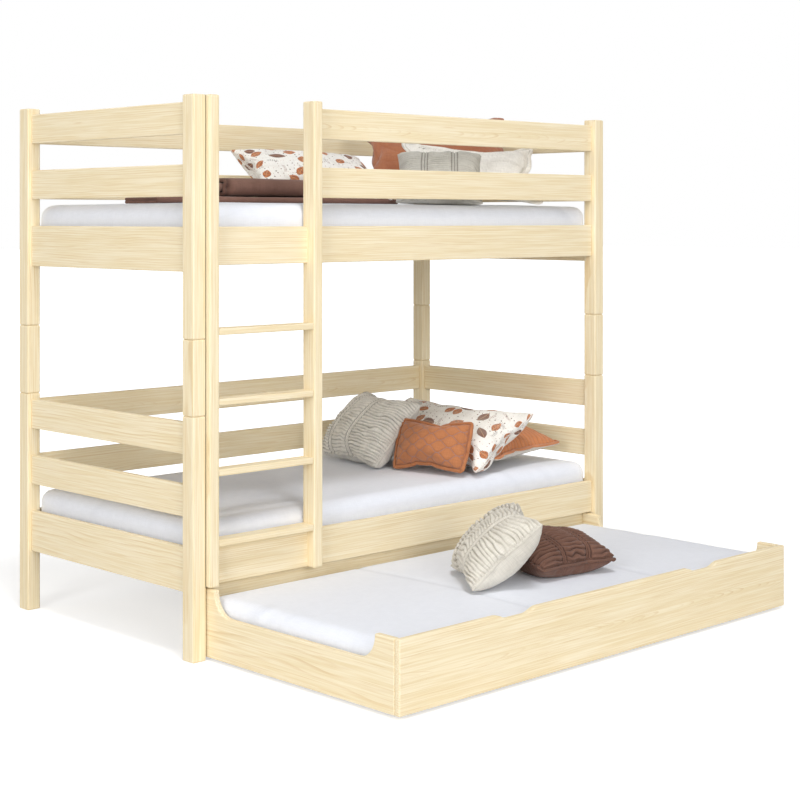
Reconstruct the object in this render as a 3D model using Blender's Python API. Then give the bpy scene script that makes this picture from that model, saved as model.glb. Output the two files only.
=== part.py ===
"""Pine bunk bed with a ladder, guard boards, three mattresses, cushions and a trundle on castors.

Metres, +Z up, +X along the bed, and -Y towards the ladder. The origin is on the floor under the
middle of the whole bed as it stands, with the trundle pulled out. Each piece is an object of its
own with a plain name, and pieces that touch keep FIT_GAP between their faces.
"""

import math
from typing import NamedTuple

import bmesh
import bpy
from mathutils import Matrix, Vector
from mathutils.bvhtree import BVHTree

# Fits
FIT_GAP = 0.0003
CUT_OVERRUN = 0.010
JOIN_OVERLAP = 0.004

# Bed frame
BED_LENGTH = 1.980
BED_DEPTH = 1.010
POST_X = 0.050
POST_Y = 0.057
BED_POST_HEIGHT = 0.755
SPACER_HEIGHT = 0.237
POST_TOP_MARGIN = 0.0215
BOARD_THICKNESS = 0.022
GUARD_BOARD_HEIGHT = 0.100
END_RAIL_HEIGHT = 0.140
SIDE_RAIL_HEIGHT = 0.120
RAIL_RISE_SHARE = 0.3
POST_EDGE = 0.0045
BOARD_EDGE = 0.003
EASED_SEGMENTS = 2
SHARP_ANGLE = 30

# Joints between boards and posts
TENON_SHOULDER = 0.006
TENON_LENGTH = 0.012
DOWEL_RADIUS = 0.008
DOWEL_LENGTH = 0.030
DOWEL_SIDES = 16

# Ladder
LADDER_WIDTH = 0.461
UPRIGHT_WIDTH = 0.037
UPRIGHT_DEPTH = 0.058
RUNG_COUNT = 4
RUNG_THICKNESS = 0.021
RUNG_DEPTH = 0.055
RUNG_PITCH_SHARE = 0.22006
RUNG_ABOVE_RAIL = 0.0015
RUNG_SHOULDER = 0.005

# Slatted bases
LEDGER_WIDTH = 0.020
LEDGER_HEIGHT = 0.030
LEDGER_RISE = 0.002
LEDGER_END_CLEARANCE = 0.005
SLAT_WIDTH = 0.070
SLAT_THICKNESS = 0.018
SLAT_PITCH = 0.150
SLAT_END_CLEARANCE = 0.002
WEBBING_WIDTH = 0.025
WEBBING_THICKNESS = 0.0015
WEBBING_SINK = 0.0005
WEBBING_PLACE_SHARES = (0.25, 0.75)

# Trundle
TRUNDLE_TUCK = 0.066
TRUNDLE_SIDE_CLEARANCE = 0.005
TRUNDLE_REAR_CLEARANCE = 0.034
TRUNDLE_TOP_CLEARANCE = 0.005
TRUNDLE_FLOOR_GAP = 0.010
TRUNDLE_PANEL = 0.020
TRUNDLE_EDGE = 0.004
RAISED_END = 0.100
CUTOUT_DEPTH_SHARE = 0.364
CUTOUT_RADIUS_SHARE = 0.935
CUTOUT_ARC_STEPS = 8
NOTCH_WIDTH = 0.185
NOTCH_DEPTH = 0.015
NOTCH_FLAT = 0.070
NOTCH_FROM_CENTRE = 0.4575
NOTCH_RAMP_STEPS = 6
TRUNDLE_LEDGER_BOTTOM = 0.046
TRUNDLE_LEDGER_HEIGHT = 0.018
TRUNDLE_LEDGER_WIDTH = 0.018
TRUNDLE_SLAT_THICKNESS = 0.015
CASTOR_BLOCK_X = 0.046
CASTOR_BLOCK_Y = 0.052

# Castors
WHEEL_RADIUS = 0.020
WHEEL_WIDTH = 0.016
WHEEL_TREAD_CROWN = 0.0012
WHEEL_HUB_RADIUS = 0.008
WHEEL_FACE_RECESS = 0.002
WHEEL_SIDES = 24
AXLE_RADIUS = 0.003
AXLE_CLEARANCE = 0.00006
FORK_SIDE_CLEARANCE = 0.001
FORK_PLATE = 0.002
FORK_PLATE_X = 0.036
FORK_PLATE_Y = 0.044
FORK_CHEEK_LENGTH = 0.026
FORK_BELOW_AXLE = 0.008

# Mattresses
MATTRESS_THICKNESS = 0.150
MATTRESS_END_CLEARANCE = 0.009
MATTRESS_SIDE_CLEARANCE = 0.009
TRUNDLE_MATTRESS_RECESS = 0.0215
TRUNDLE_MATTRESS_CLEARANCE = 0.007
MATTRESS_TOP_ROUND = 0.045
MATTRESS_BOTTOM_ROUND = 0.015
MATTRESS_CORNER_RADIUS = 0.060
MATTRESS_CROWN = 0.008
MATTRESS_ARC_STEPS = 3
MATTRESS_RING_STEPS = (6, 4)
MATTRESS_CROWN_SHARES = ((0.35, 0.60), (0.70, 0.92))

# Cushions: width, height and thickness of each kind as shares of the bedding's own unit, which
# is the bed's inner depth, or this share of its inner length where that is less
BEDDING_LENGTH_SHARE = 0.488
RUCHED_SHARES = (0.3652, 0.3222, 0.1504)
SMALL_QUILTED_SHARES = (0.3083, 0.2095, 0.1182)
LONG_SHARES = (0.6230, 0.4028, 0.1557)
RIBBED_SHARES = (0.4726, 0.4726, 0.1611)
SMALL_PLEATED_SHARES = (0.3330, 0.3008, 0.1557)
FLANGED_SHARES = (0.5371, 0.4619, 0.1665)
LARGE_SHARES = (0.6230, 0.5371, 0.1611)
CUSHION_COLUMNS = 12
CUSHION_ROWS = 10
SEAM_THICKNESS = 0.006
RIB_DEPTH = 0.004
PINCH_SHARE = 0.05
LEANING_RISE_SHARE = 0.0258
PROPPED_RISE_SHARE = 0.0322
SMALL_RISE_SHARE = 0.0193
LYING_RISE_SHARE = 0.0687

# Folded throw: a thin lower fold, and a thick one on top
THROW_LAYER = 0.024
THROW_ROLL_HEIGHT = 0.062
THROW_SINK = 0.010
THROW_ROUND = 0.010
THROW_X_SHARES = (0.0783, 1.2799)
THROW_ROLL_X_SHARES = (0.2165, 1.1098)
THROW_Y_SHARES = (0.4783, 0.8328)
THROW_ROLL_Y_SHARES = (0.4998, 0.6287)

PINE = ("pine", (0.86, 0.76, 0.54), 0.5, 0.0)
SLAT_PINE = ("slat_pine", (0.78, 0.66, 0.45), 0.6, 0.0)
STEEL = ("zinc_steel", (0.62, 0.63, 0.65), 0.35, 1.0)
TYRE_PLASTIC = ("wheel_plastic", (0.05, 0.05, 0.05), 0.5, 0.0)
SHEET_COTTON = ("sheet_cotton", (0.80, 0.81, 0.84), 0.85, 0.0)
CUSHION_LINEN = ("cushion_linen", (0.55, 0.28, 0.17), 0.9, 0.0)

# Levels above a bed's own base
TOP_BOARD_LOW = BED_POST_HEIGHT - POST_TOP_MARGIN - GUARD_BOARD_HEIGHT
SIDE_RAIL_LOW = BED_POST_HEIGHT * RAIL_RISE_SHARE
RAIL_TOP = SIDE_RAIL_LOW + SIDE_RAIL_HEIGHT
END_RAIL_LOW = RAIL_TOP - END_RAIL_HEIGHT
MIDDLE_BOARD_LOW = (RAIL_TOP + TOP_BOARD_LOW - GUARD_BOARD_HEIGHT) / 2
TOP_BOARD = ("top_board", TOP_BOARD_LOW, TOP_BOARD_LOW + GUARD_BOARD_HEIGHT)
MIDDLE_BOARD = ("middle_board", MIDDLE_BOARD_LOW, MIDDLE_BOARD_LOW + GUARD_BOARD_HEIGHT)
END_RAIL = ("rail", END_RAIL_LOW, RAIL_TOP)
SIDE_RAIL = ("rail", SIDE_RAIL_LOW, RAIL_TOP)

# Places in plan
TRUNDLE_DEPTH = BED_DEPTH - POST_Y - TRUNDLE_REAR_CLEARANCE
TRUNDLE_OUT = TRUNDLE_DEPTH - TRUNDLE_TUCK
LEFT = -BED_LENGTH / 2
RIGHT = BED_LENGTH / 2
FRONT = (TRUNDLE_OUT - BED_DEPTH) / 2
REAR = FRONT + BED_DEPTH
UPPER_BASE = BED_POST_HEIGHT + SPACER_HEIGHT
BED_TOP = UPPER_BASE + BED_POST_HEIGHT
RUNG_PITCH = UPPER_BASE * RUNG_PITCH_SHARE
END_SETBACK = (POST_X - BOARD_THICKNESS) / 2
SIDE_SETBACK = (POST_Y - BOARD_THICKNESS) / 2
INNER_LEFT = LEFT + END_SETBACK + BOARD_THICKNESS
INNER_FRONT = FRONT + SIDE_SETBACK + BOARD_THICKNESS
INNER_LENGTH = -2 * INNER_LEFT
INNER_DEPTH = REAR - FRONT - 2 * (INNER_FRONT - FRONT)
BEDDING_UNIT = min(INNER_LENGTH * BEDDING_LENGTH_SHARE, INNER_DEPTH)
BEDS = (("lower", 0), ("upper", UPPER_BASE))


class Cushion(NamedTuple):
    """A cushion: its size, where the middle of its bottom seam lies, and how it leans.

    Size, place and rise are shares of the bedding's unit. The place is counted from the inner
    front left corner of the bed, and the rise from the mattress. Yaw turns the cushion's face from
    the ladder side towards the left end, lean tips it back, and roll lifts its right end, all in
    degrees. Ribs counts the channels across it.
    """

    size_shares: tuple
    place_shares: tuple
    rise_share: float
    yaw: float
    lean: float
    roll: float
    ribs: int


LOWER_CUSHIONS = (
    Cushion(LONG_SHARES, (1.3480, 0.3362), LEANING_RISE_SHARE, yaw=79, lean=61, roll=-5, ribs=0),
    Cushion(RUCHED_SHARES, (1.2289, 0.5683), LEANING_RISE_SHARE, yaw=92, lean=43, roll=-2, ribs=0),
    Cushion(
        SMALL_QUILTED_SHARES, (1.2757, 0.1789), SMALL_RISE_SHARE, yaw=74, lean=26, roll=-1, ribs=0
    ),
    Cushion(RIBBED_SHARES, (1.6989, 0.0769), LYING_RISE_SHARE, yaw=7, lean=84, roll=4, ribs=9),
)
UPPER_CUSHIONS = (
    Cushion(LONG_SHARES, (1.1098, 0.5770), PROPPED_RISE_SHARE, yaw=11, lean=59, roll=-4, ribs=0),
    Cushion(LARGE_SHARES, (1.5245, 0.3156), LEANING_RISE_SHARE, yaw=38, lean=50, roll=-1, ribs=0),
    Cushion(FLANGED_SHARES, (1.5606, 0.2027), LEANING_RISE_SHARE, yaw=39, lean=58, roll=-4, ribs=0),
    Cushion(
        SMALL_PLEATED_SHARES, (1.3097, 0.1528), SMALL_RISE_SHARE, yaw=44, lean=51, roll=-1, ribs=4
    ),
)


class Corner(NamedTuple):
    """One corner of the bed: its outer corner point, and which way is inwards along each axis."""

    name: str
    x: float
    y: float
    inwards_x: int
    inwards_y: int


CORNERS = (
    Corner("front_left", LEFT, FRONT, 1, 1),
    Corner("front_right", RIGHT, FRONT, -1, 1),
    Corner("rear_left", LEFT, REAR, 1, -1),
    Corner("rear_right", RIGHT, REAR, -1, -1),
)


def clear_scene():
    """Removes what the startup scene holds."""
    for obj in list(bpy.data.objects):
        bpy.data.objects.remove(obj, do_unlink=True)


def material(finish):
    """A Principled material for (name, colour, roughness, metallic), made new for each object."""
    name, colour, roughness, metallic = finish
    made = bpy.data.materials.new(name)
    made.use_nodes = True
    shader = made.node_tree.nodes["Principled BSDF"]
    shader.inputs["Base Color"].default_value = (*colour, 1)
    shader.inputs["Roughness"].default_value = roughness
    shader.inputs["Metallic"].default_value = metallic
    return made


def add_object(name, bm, finish=None, parent=None, place=(0, 0, 0)):
    """Turns a bmesh into a named object at its place under its parent."""
    mesh = bpy.data.meshes.new(name)
    bm.normal_update()
    bm.to_mesh(mesh)
    bm.free()
    mesh.shade_smooth()
    mesh.set_sharp_from_angle(angle=math.radians(SHARP_ANGLE))
    obj = bpy.data.objects.new(name, mesh)
    bpy.context.scene.collection.objects.link(obj)
    obj.parent = parent
    obj.location = place
    if finish:
        mesh.materials.append(material(finish))
    return obj


def add_empty(name, place):
    """An empty that a moving group hangs on, at a point of its joint's axis."""
    empty = bpy.data.objects.new(name, None)
    bpy.context.scene.collection.objects.link(empty)
    empty.location = place
    return empty


def add_box(bm, low, high):
    """Adds a closed box between two corners and returns its vertices."""
    size = Vector(high) - Vector(low)
    centre = (Vector(high) + Vector(low)) / 2
    made = bmesh.ops.create_cube(bm, size=1)
    bmesh.ops.scale(bm, vec=size, verts=made["verts"])
    bmesh.ops.translate(bm, vec=centre, verts=made["verts"])
    return made["verts"]


def box(low, high, edge=0.0):
    """A box as a new bmesh, with its edges rounded over where an edge size is given."""
    bm = bmesh.new()
    add_box(bm, low, high)
    if edge:
        ease_edges(bm, edge)
    return bm


def ease_edges(bm, width):
    """Rounds over every sharp edge by the width."""
    sharp = [edge for edge in bm.edges if edge.calc_face_angle() > math.radians(40)]
    bmesh.ops.bevel(
        bm, geom=sharp, offset=width, segments=EASED_SEGMENTS, profile=0.5, affect="EDGES"
    )


def add_cylinder(bm, start, end, radius, sides):
    """Adds a closed cylinder between two points."""
    start, end = Vector(start), Vector(end)
    along = end - start
    turn = Vector((0, 0, 1)).rotation_difference(along).to_matrix().to_4x4()
    bmesh.ops.create_cone(
        bm,
        cap_ends=True,
        segments=sides,
        radius1=radius,
        radius2=radius,
        depth=along.length,
        matrix=Matrix.Translation((start + end) / 2) @ turn,
    )


def prism(outline, low, high, to_world):
    """A closed prism: the outline's points at depth low, extruded to depth high."""
    bm = bmesh.new()
    verts = [bm.verts.new(to_world(u, v, low)) for u, v in outline]
    face = bm.faces.new(verts)
    moved = bmesh.ops.extrude_face_region(bm, geom=[face])
    tops = [item for item in moved["geom"] if isinstance(item, bmesh.types.BMVert)]
    shift = to_world(0, 0, high) - to_world(0, 0, low)
    bmesh.ops.translate(bm, vec=shift, verts=tops)
    bmesh.ops.recalc_face_normals(bm, faces=bm.faces)
    return bm


def boolean(target, tool, operation):
    """The target joined to or cut by the tool, as a new bmesh. Both are closed, and both are used up."""
    holder = add_object("boolean_target", target)
    helper = add_object("boolean_tool", tool)
    modifier = holder.modifiers.new("boolean", "BOOLEAN")
    modifier.operation = operation
    modifier.solver = "EXACT"
    modifier.object = helper
    result = bmesh.new()
    result.from_object(holder, bpy.context.evaluated_depsgraph_get())
    for used in (holder, helper):
        bpy.data.objects.remove(used, do_unlink=True)
    return result


def add_tenon(bm, axis, side, shoulder):
    """Draws a tenon out of the board's end face: a smaller rectangle, one shoulder in all round."""
    faces = [face for face in bm.faces if face.normal[axis] * side > 0.99]
    end = max(faces, key=lambda face: face.calc_area())
    bmesh.ops.inset_region(bm, faces=[end], thickness=shoulder, use_even_offset=True)
    shift = Vector((0, 0, 0))
    shift[axis] = side * TENON_LENGTH
    moved = bmesh.ops.extrude_face_region(bm, geom=[end])
    verts = [item for item in moved["geom"] if isinstance(item, bmesh.types.BMVert)]
    bmesh.ops.delete(bm, geom=[end], context="FACES")
    bmesh.ops.translate(bm, vec=shift, verts=verts)


def tenoned_board(low, high, axis, shoulder=TENON_SHOULDER, edge=BOARD_EDGE):
    """A board with eased edges and a tenon on each end. low and high bound it between shoulders."""
    bm = box(low, high, edge)
    for side in (-1, 1):
        add_tenon(bm, axis, side, shoulder - edge)
    return bm


def mortise(bm, low, high, axis, shoulder=TENON_SHOULDER):
    """Adds the cutter for the two tenons of the board between low and high, FIT_GAP larger all round."""
    low, high = Vector(low), Vector(high)
    inset = shoulder - FIT_GAP
    for index in range(3):
        if index == axis:
            low[index] -= TENON_LENGTH + FIT_GAP
            high[index] += TENON_LENGTH + FIT_GAP
        else:
            low[index] += inset
            high[index] -= inset
    add_box(bm, low, high)


def end_board_span(side, level, base):
    """Low and high corners of a board across one end of a bed, between the posts."""
    _, low, high = level
    x = LEFT + END_SETBACK if side == "left" else RIGHT - END_SETBACK - BOARD_THICKNESS
    inner = POST_Y + FIT_GAP
    return (x, FRONT + inner, base + low), (x + BOARD_THICKNESS, REAR - inner, base + high)


def side_board_span(side, level, base, start=LEFT + POST_X + FIT_GAP):
    """Low and high corners of a board along one side of a bed, from start to the right post."""
    _, low, high = level
    y = FRONT + SIDE_SETBACK if side == "front" else REAR - SIDE_SETBACK - BOARD_THICKNESS
    return (start, y, base + low), (RIGHT - POST_X - FIT_GAP, y + BOARD_THICKNESS, base + high)


def ladder_left():
    """The left face of the ladder's left upright, which stands against the front left post."""
    return LEFT + POST_X + FIT_GAP


def ladder_right():
    """The right face of the ladder's right upright, where the guard boards start."""
    return ladder_left() + LADDER_WIDTH


def side_boards():
    """(name, level, base, side, start) of every board along the bed."""
    start = LEFT + POST_X + FIT_GAP
    boards = []
    for bed, base in BEDS:
        for level in (TOP_BOARD, MIDDLE_BOARD, SIDE_RAIL):
            boards.append((f"{bed}_rear_{level[0]}", level, base, "rear", start))
        boards.append((f"{bed}_front_rail", SIDE_RAIL, base, "front", start))
    for level in (TOP_BOARD, MIDDLE_BOARD):
        name = f"upper_front_{level[0]}"
        boards.append((name, level, UPPER_BASE, "front", ladder_right() + FIT_GAP))
    return boards


def end_boards():
    """(name, level, base, side) of every board across an end."""
    return [
        (f"{bed}_{side}_end_{level[0]}", level, base, side)
        for bed, base in BEDS
        for side in ("left", "right")
        for level in (TOP_BOARD, MIDDLE_BOARD, END_RAIL)
    ]


def post_span(corner, low, high):
    """Low and high corners of a post between two levels."""
    xs = sorted((corner.x, corner.x + corner.inwards_x * POST_X))
    ys = sorted((corner.y, corner.y + corner.inwards_y * POST_Y))
    return (xs[0], ys[0], low), (xs[1], ys[1], high)


def post_axis(corner):
    """The middle of a post in plan."""
    return corner.x + corner.inwards_x * POST_X / 2, corner.y + corner.inwards_y * POST_Y / 2


def joinery_cutter():
    """One cutter for every mortise in posts and uprights."""
    bm = bmesh.new()
    for _, level, base, side in end_boards():
        mortise(bm, *end_board_span(side, level, base), axis=1)
    for _, level, base, side, start in side_boards():
        mortise(bm, *side_board_span(side, level, base, start), axis=0)
    return bm


def cylinder_at(corner, low, high, radius):
    """A closed cylinder on a post's axis between two levels."""
    bm = bmesh.new()
    x, y = post_axis(corner)
    add_cylinder(bm, (x, y, low), (x, y, high), radius, DOWEL_SIDES)
    return bm


def build_posts():
    """Four corners, each a lower post, a spacer with its two dowels, and an upper post."""
    spacer_low = BED_POST_HEIGHT + FIT_GAP
    spacer_high = UPPER_BASE - FIT_GAP
    bore_radius = DOWEL_RADIUS + FIT_GAP
    for corner in CORNERS:
        lower = box(*post_span(corner, 0, BED_POST_HEIGHT), POST_EDGE)
        lower = boolean(lower, joinery_cutter(), "DIFFERENCE")
        bore = cylinder_at(
            corner, spacer_low - DOWEL_LENGTH - 2 * FIT_GAP, spacer_low, bore_radius
        )
        lower = boolean(lower, bore, "DIFFERENCE")
        add_object(f"lower_post_{corner.name}", lower, PINE)

        spacer = box(*post_span(corner, spacer_low, spacer_high), POST_EDGE)
        dowel = cylinder_at(
            corner, spacer_low - DOWEL_LENGTH, spacer_high + DOWEL_LENGTH, DOWEL_RADIUS
        )
        add_object(f"spacer_{corner.name}", boolean(spacer, dowel, "UNION"), PINE)

        upper = box(*post_span(corner, UPPER_BASE, BED_TOP), POST_EDGE)
        upper = boolean(upper, joinery_cutter(), "DIFFERENCE")
        bore = cylinder_at(
            corner, spacer_high, spacer_high + DOWEL_LENGTH + 2 * FIT_GAP, bore_radius
        )
        upper = boolean(upper, bore, "DIFFERENCE")
        add_object(f"upper_post_{corner.name}", upper, PINE)


def ledger_span(rail_low, rail_high, side, bottom):
    """Low and high corners of the strip that carries the slats, on a rail's inner face."""
    ends = LEDGER_END_CLEARANCE
    if side == "front":
        y_low, y_high = rail_high[1] - JOIN_OVERLAP, rail_high[1] + LEDGER_WIDTH
    else:
        y_low, y_high = rail_low[1] - LEDGER_WIDTH, rail_low[1] + JOIN_OVERLAP
    low = (rail_low[0] + ends, y_low, bottom)
    high = (rail_high[0] - ends, y_high, bottom + LEDGER_HEIGHT)
    return low, high


def build_boards():
    """Every board across the ends and along the sides. The rails carry a ledger for the slats."""
    for name, level, base, side in end_boards():
        add_object(name, tenoned_board(*end_board_span(side, level, base), axis=1), PINE)
    for name, level, base, side, start in side_boards():
        low, high = side_board_span(side, level, base, start)
        board = tenoned_board(low, high, axis=0)
        if level is SIDE_RAIL:
            ledger = box(*ledger_span(low, high, side, low[2] + LEDGER_RISE))
            board = boolean(board, ledger, "UNION")
        add_object(name, board, PINE)


def rung_span(index, left, right):
    """Low and high corners of a rung between the uprights' inner faces, counted from the floor."""
    back = FRONT + SIDE_SETBACK + BOARD_THICKNESS - (UPRIGHT_DEPTH - RUNG_DEPTH) / 2
    low = RAIL_TOP + RUNG_ABOVE_RAIL + index * RUNG_PITCH
    return (
        (left + FIT_GAP, back - RUNG_DEPTH, low),
        (right - FIT_GAP, back, low + RUNG_THICKNESS),
    )


def build_ladder():
    """Two uprights notched over the front rails, with four rungs tenoned between them."""
    back = FRONT + SIDE_SETBACK + BOARD_THICKNESS
    left_inner = ladder_left() + UPRIGHT_WIDTH
    right_inner = ladder_right() - UPRIGHT_WIDTH
    for name, x in (("left", ladder_left()), ("right", right_inner)):
        low = (x, back - UPRIGHT_DEPTH, SIDE_RAIL_LOW)
        high = (x + UPRIGHT_WIDTH, back, BED_TOP)
        upright = box(low, high, POST_EDGE)
        cutter = bmesh.new()
        for base, overrun in ((0, CUT_OVERRUN), (UPPER_BASE, FIT_GAP)):
            add_box(
                cutter,
                (x - CUT_OVERRUN, back - BOARD_THICKNESS - FIT_GAP, base + SIDE_RAIL_LOW - overrun),
                (x + UPRIGHT_WIDTH + CUT_OVERRUN, back + CUT_OVERRUN, base + RAIL_TOP + FIT_GAP),
            )
        upright = boolean(upright, cutter, "DIFFERENCE")
        sockets = bmesh.new()
        for index in range(RUNG_COUNT):
            span = rung_span(index, left_inner, right_inner)
            mortise(sockets, *span, axis=0, shoulder=RUNG_SHOULDER)
        for _, level, base, side, start in side_boards():
            if start > right_inner:
                mortise(sockets, *side_board_span(side, level, base, start), axis=0)
        upright = boolean(upright, sockets, "DIFFERENCE")
        add_object(f"ladder_{name}_upright", upright, PINE)
    for index in range(RUNG_COUNT):
        low, high = rung_span(index, left_inner, right_inner)
        rung = tenoned_board(low, high, axis=0, shoulder=RUNG_SHOULDER)
        add_object(f"ladder_rung_{index + 1}", rung, PINE)


def slatted_base(low, high, thickness):
    """Slats across a bed from low to high, held in step by two webbing tapes stapled under them."""
    length = high[0] - low[0]
    count = int((length - SLAT_WIDTH) / SLAT_PITCH) + 1
    first = low[0] + (length - SLAT_WIDTH - (count - 1) * SLAT_PITCH) / 2
    slats = bmesh.new()
    for index in range(count):
        x = first + index * SLAT_PITCH
        add_box(slats, (x, low[1], low[2]), (x + SLAT_WIDTH, high[1], low[2] + thickness))
    tapes = bmesh.new()
    end = first + (count - 1) * SLAT_PITCH + SLAT_WIDTH
    for share in WEBBING_PLACE_SHARES:
        y = low[1] + (high[1] - low[1]) * share
        add_box(
            tapes,
            (first + JOIN_OVERLAP, y - WEBBING_WIDTH / 2, low[2] - WEBBING_THICKNESS),
            (end - JOIN_OVERLAP, y + WEBBING_WIDTH / 2, low[2] + WEBBING_SINK),
        )
    return boolean(slats, tapes, "UNION")


def rounded_ring(half_x, half_y, radius, level):
    """Points round a rectangle with arcs at its corners, and steps along its straight sides."""
    radius = min(radius, half_x, half_y)
    corners = ((1, 1, 0), (-1, 1, 90), (-1, -1, 180), (1, -1, 270))
    ring = []
    for index, (side_x, side_y, start) in enumerate(corners):
        centre = Vector((side_x * (half_x - radius), side_y * (half_y - radius), level))
        for step in range(MATTRESS_ARC_STEPS + 1):
            angle = math.radians(start + 90 * step / MATTRESS_ARC_STEPS)
            ring.append(centre + radius * Vector((math.cos(angle), math.sin(angle), 0)))
        steps = MATTRESS_RING_STEPS[index % 2]
        following = corners[(index + 1) % 4]
        last = ring[-1].copy()
        goal = Vector((following[0] * (half_x - radius), following[1] * (half_y - radius), level))
        turn = math.radians(following[2])
        goal += radius * Vector((math.cos(turn), math.sin(turn), 0))
        for step in range(1, steps):
            ring.append(last.lerp(goal, step / steps))
    return ring


def mattress(half_x, half_y, bottom, thickness):
    """A covered mattress: flat underneath, upright sides, a rounded top edge and a crowned top."""
    top = bottom + thickness - MATTRESS_CROWN
    low, high = MATTRESS_BOTTOM_ROUND, MATTRESS_TOP_ROUND
    profile = [(low, bottom), (0, bottom + low)]
    for step in range(MATTRESS_ARC_STEPS + 1):
        angle = math.radians(90 * step / MATTRESS_ARC_STEPS)
        inset = high * (1 - math.cos(angle))
        profile.append((inset, top - high + high * math.sin(angle)))
    for inwards_share, rise_share in MATTRESS_CROWN_SHARES:
        inset = high + (half_y - high) * inwards_share
        profile.append((inset, top + MATTRESS_CROWN * rise_share))
    bm = bmesh.new()
    rings = []
    for inset, level in profile:
        radius = max(MATTRESS_CORNER_RADIUS - inset, MATTRESS_BOTTOM_ROUND)
        points = rounded_ring(half_x - inset, half_y - inset, radius, level)
        rings.append([bm.verts.new(point) for point in points])
    bm.faces.new(list(reversed(rings[0])))
    for lower, upper in zip(rings, rings[1:]):
        for index in range(len(lower)):
            after = (index + 1) % len(lower)
            bm.faces.new((lower[index], lower[after], upper[after], upper[index]))
    crest = bm.verts.new((0, 0, top + MATTRESS_CROWN))
    for index in range(len(rings[-1])):
        bm.faces.new((rings[-1][index], rings[-1][(index + 1) % len(rings[-1])], crest))
    bmesh.ops.recalc_face_normals(bm, faces=bm.faces)
    return bm


def ledger_top(base):
    """The level that a bed's slats rest on."""
    return base + SIDE_RAIL_LOW + LEDGER_RISE + LEDGER_HEIGHT


def mattress_bottom(base):
    """The level that a bed's mattress rests on."""
    return ledger_top(base) + SLAT_THICKNESS + 2 * FIT_GAP


def cushion_body(cushion, base):
    """A stuffed cushion in place: crowned both ways, with drawn-in sides and a seam all round."""
    width, height, thickness = (share * BEDDING_UNIT for share in cushion.size_shares)
    bm = bmesh.new()

    def point(column, row, side):
        """The surface point at a grid place: across, up and off the cushion's middle plane."""
        across = 2 * column / CUSHION_COLUMNS - 1
        up = 2 * row / CUSHION_ROWS - 1
        swell = math.sqrt((1 - across**4) * (1 - up**4))
        depth = (thickness / 2 - SEAM_THICKNESS / 2) * swell + SEAM_THICKNESS / 2
        depth -= RIB_DEPTH * swell * math.sin(math.pi * cushion.ribs * across / 2) ** 2
        return Vector(
            (
                across * width / 2 * (1 - PINCH_SHARE * (1 - up**2)),
                height / 2 + up * height / 2 * (1 - PINCH_SHARE * (1 - across**2)),
                side * depth,
            )
        )

    sheets = []
    for side in (1, -1):
        grid = [
            [bm.verts.new(point(column, row, side)) for row in range(CUSHION_ROWS + 1)]
            for column in range(CUSHION_COLUMNS + 1)
        ]
        for column in range(CUSHION_COLUMNS):
            for row in range(CUSHION_ROWS):
                after = grid[column + 1]
                bm.faces.new(
                    (grid[column][row], after[row], after[row + 1], grid[column][row + 1])
                )
        rim = [grid[column][0] for column in range(CUSHION_COLUMNS)]
        rim += [grid[CUSHION_COLUMNS][row] for row in range(CUSHION_ROWS)]
        rim += [grid[column][CUSHION_ROWS] for column in range(CUSHION_COLUMNS, 0, -1)]
        rim += [grid[0][row] for row in range(CUSHION_ROWS, 0, -1)]
        sheets.append(rim)
    for index, (top, bottom) in enumerate(zip(*sheets)):
        after = (index + 1) % len(sheets[0])
        bm.faces.new((top, bottom, sheets[1][after], sheets[0][after]))
    bmesh.ops.recalc_face_normals(bm, faces=bm.faces)

    turn = Matrix.Rotation(math.radians(-cushion.yaw), 3, "Z")
    turn @= Matrix.Rotation(math.radians(90 - cushion.lean), 3, "X")
    turn @= Matrix.Rotation(math.radians(cushion.roll), 3, "Z")
    share_x, share_y = cushion.place_shares
    place = Vector(
        (
            INNER_LEFT + share_x * BEDDING_UNIT,
            INNER_FRONT + share_y * BEDDING_UNIT,
            mattress_bottom(base) + MATTRESS_THICKNESS + cushion.rise_share * BEDDING_UNIT,
        )
    )
    bmesh.ops.transform(bm, matrix=Matrix.Translation(place) @ turn.to_4x4(), verts=bm.verts)
    return bm


def folded_throw(base):
    """A folded throw on the mattress: one flat fold, and a thicker one lying on its front part."""
    z = mattress_bottom(base) + MATTRESS_THICKNESS
    spans = []
    for x_shares, y_shares in (
        (THROW_X_SHARES, THROW_Y_SHARES),
        (THROW_ROLL_X_SHARES, THROW_ROLL_Y_SHARES),
    ):
        xs = [INNER_LEFT + share * BEDDING_UNIT for share in x_shares]
        ys = [INNER_FRONT + share * BEDDING_UNIT for share in y_shares]
        spans.append((xs, ys))
    (xs, ys), (roll_xs, roll_ys) = spans
    flat = box((xs[0], ys[0], z), (xs[1], ys[1], z + THROW_LAYER), THROW_ROUND)
    z += THROW_LAYER
    roll = box(
        (roll_xs[0], roll_ys[0], z - THROW_SINK),
        (roll_xs[1], roll_ys[1], z + THROW_ROLL_HEIGHT),
        THROW_ROUND,
    )
    return boolean(flat, roll, "UNION")


def least_drop(upper, lower):
    """How far the upper body's points stand above the lower body, straight down."""
    drops = []
    for source, target, down in ((upper, lower, -1), (lower, upper, 1)):
        tree = BVHTree.FromBMesh(target)
        for vert in source.verts:
            distance = tree.ray_cast(vert.co, Vector((0, 0, down)))[3]
            if distance is not None:
                drops.append(distance)
    return min(drops)


def build_cushions(name, bodies, pad):
    """Joins cushions that lean on one another, and lowers them onto the mattress's pad."""
    joined = bodies[0]
    for body in bodies[1:]:
        joined = boolean(joined, body, "UNION")
    bmesh.ops.translate(joined, vec=(0, 0, MATTRESS_THICKNESS), verts=joined.verts)
    drop = least_drop(joined, pad) - FIT_GAP
    bmesh.ops.translate(joined, vec=(0, 0, -drop), verts=joined.verts)
    add_object(name, joined, CUSHION_LINEN)


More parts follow.
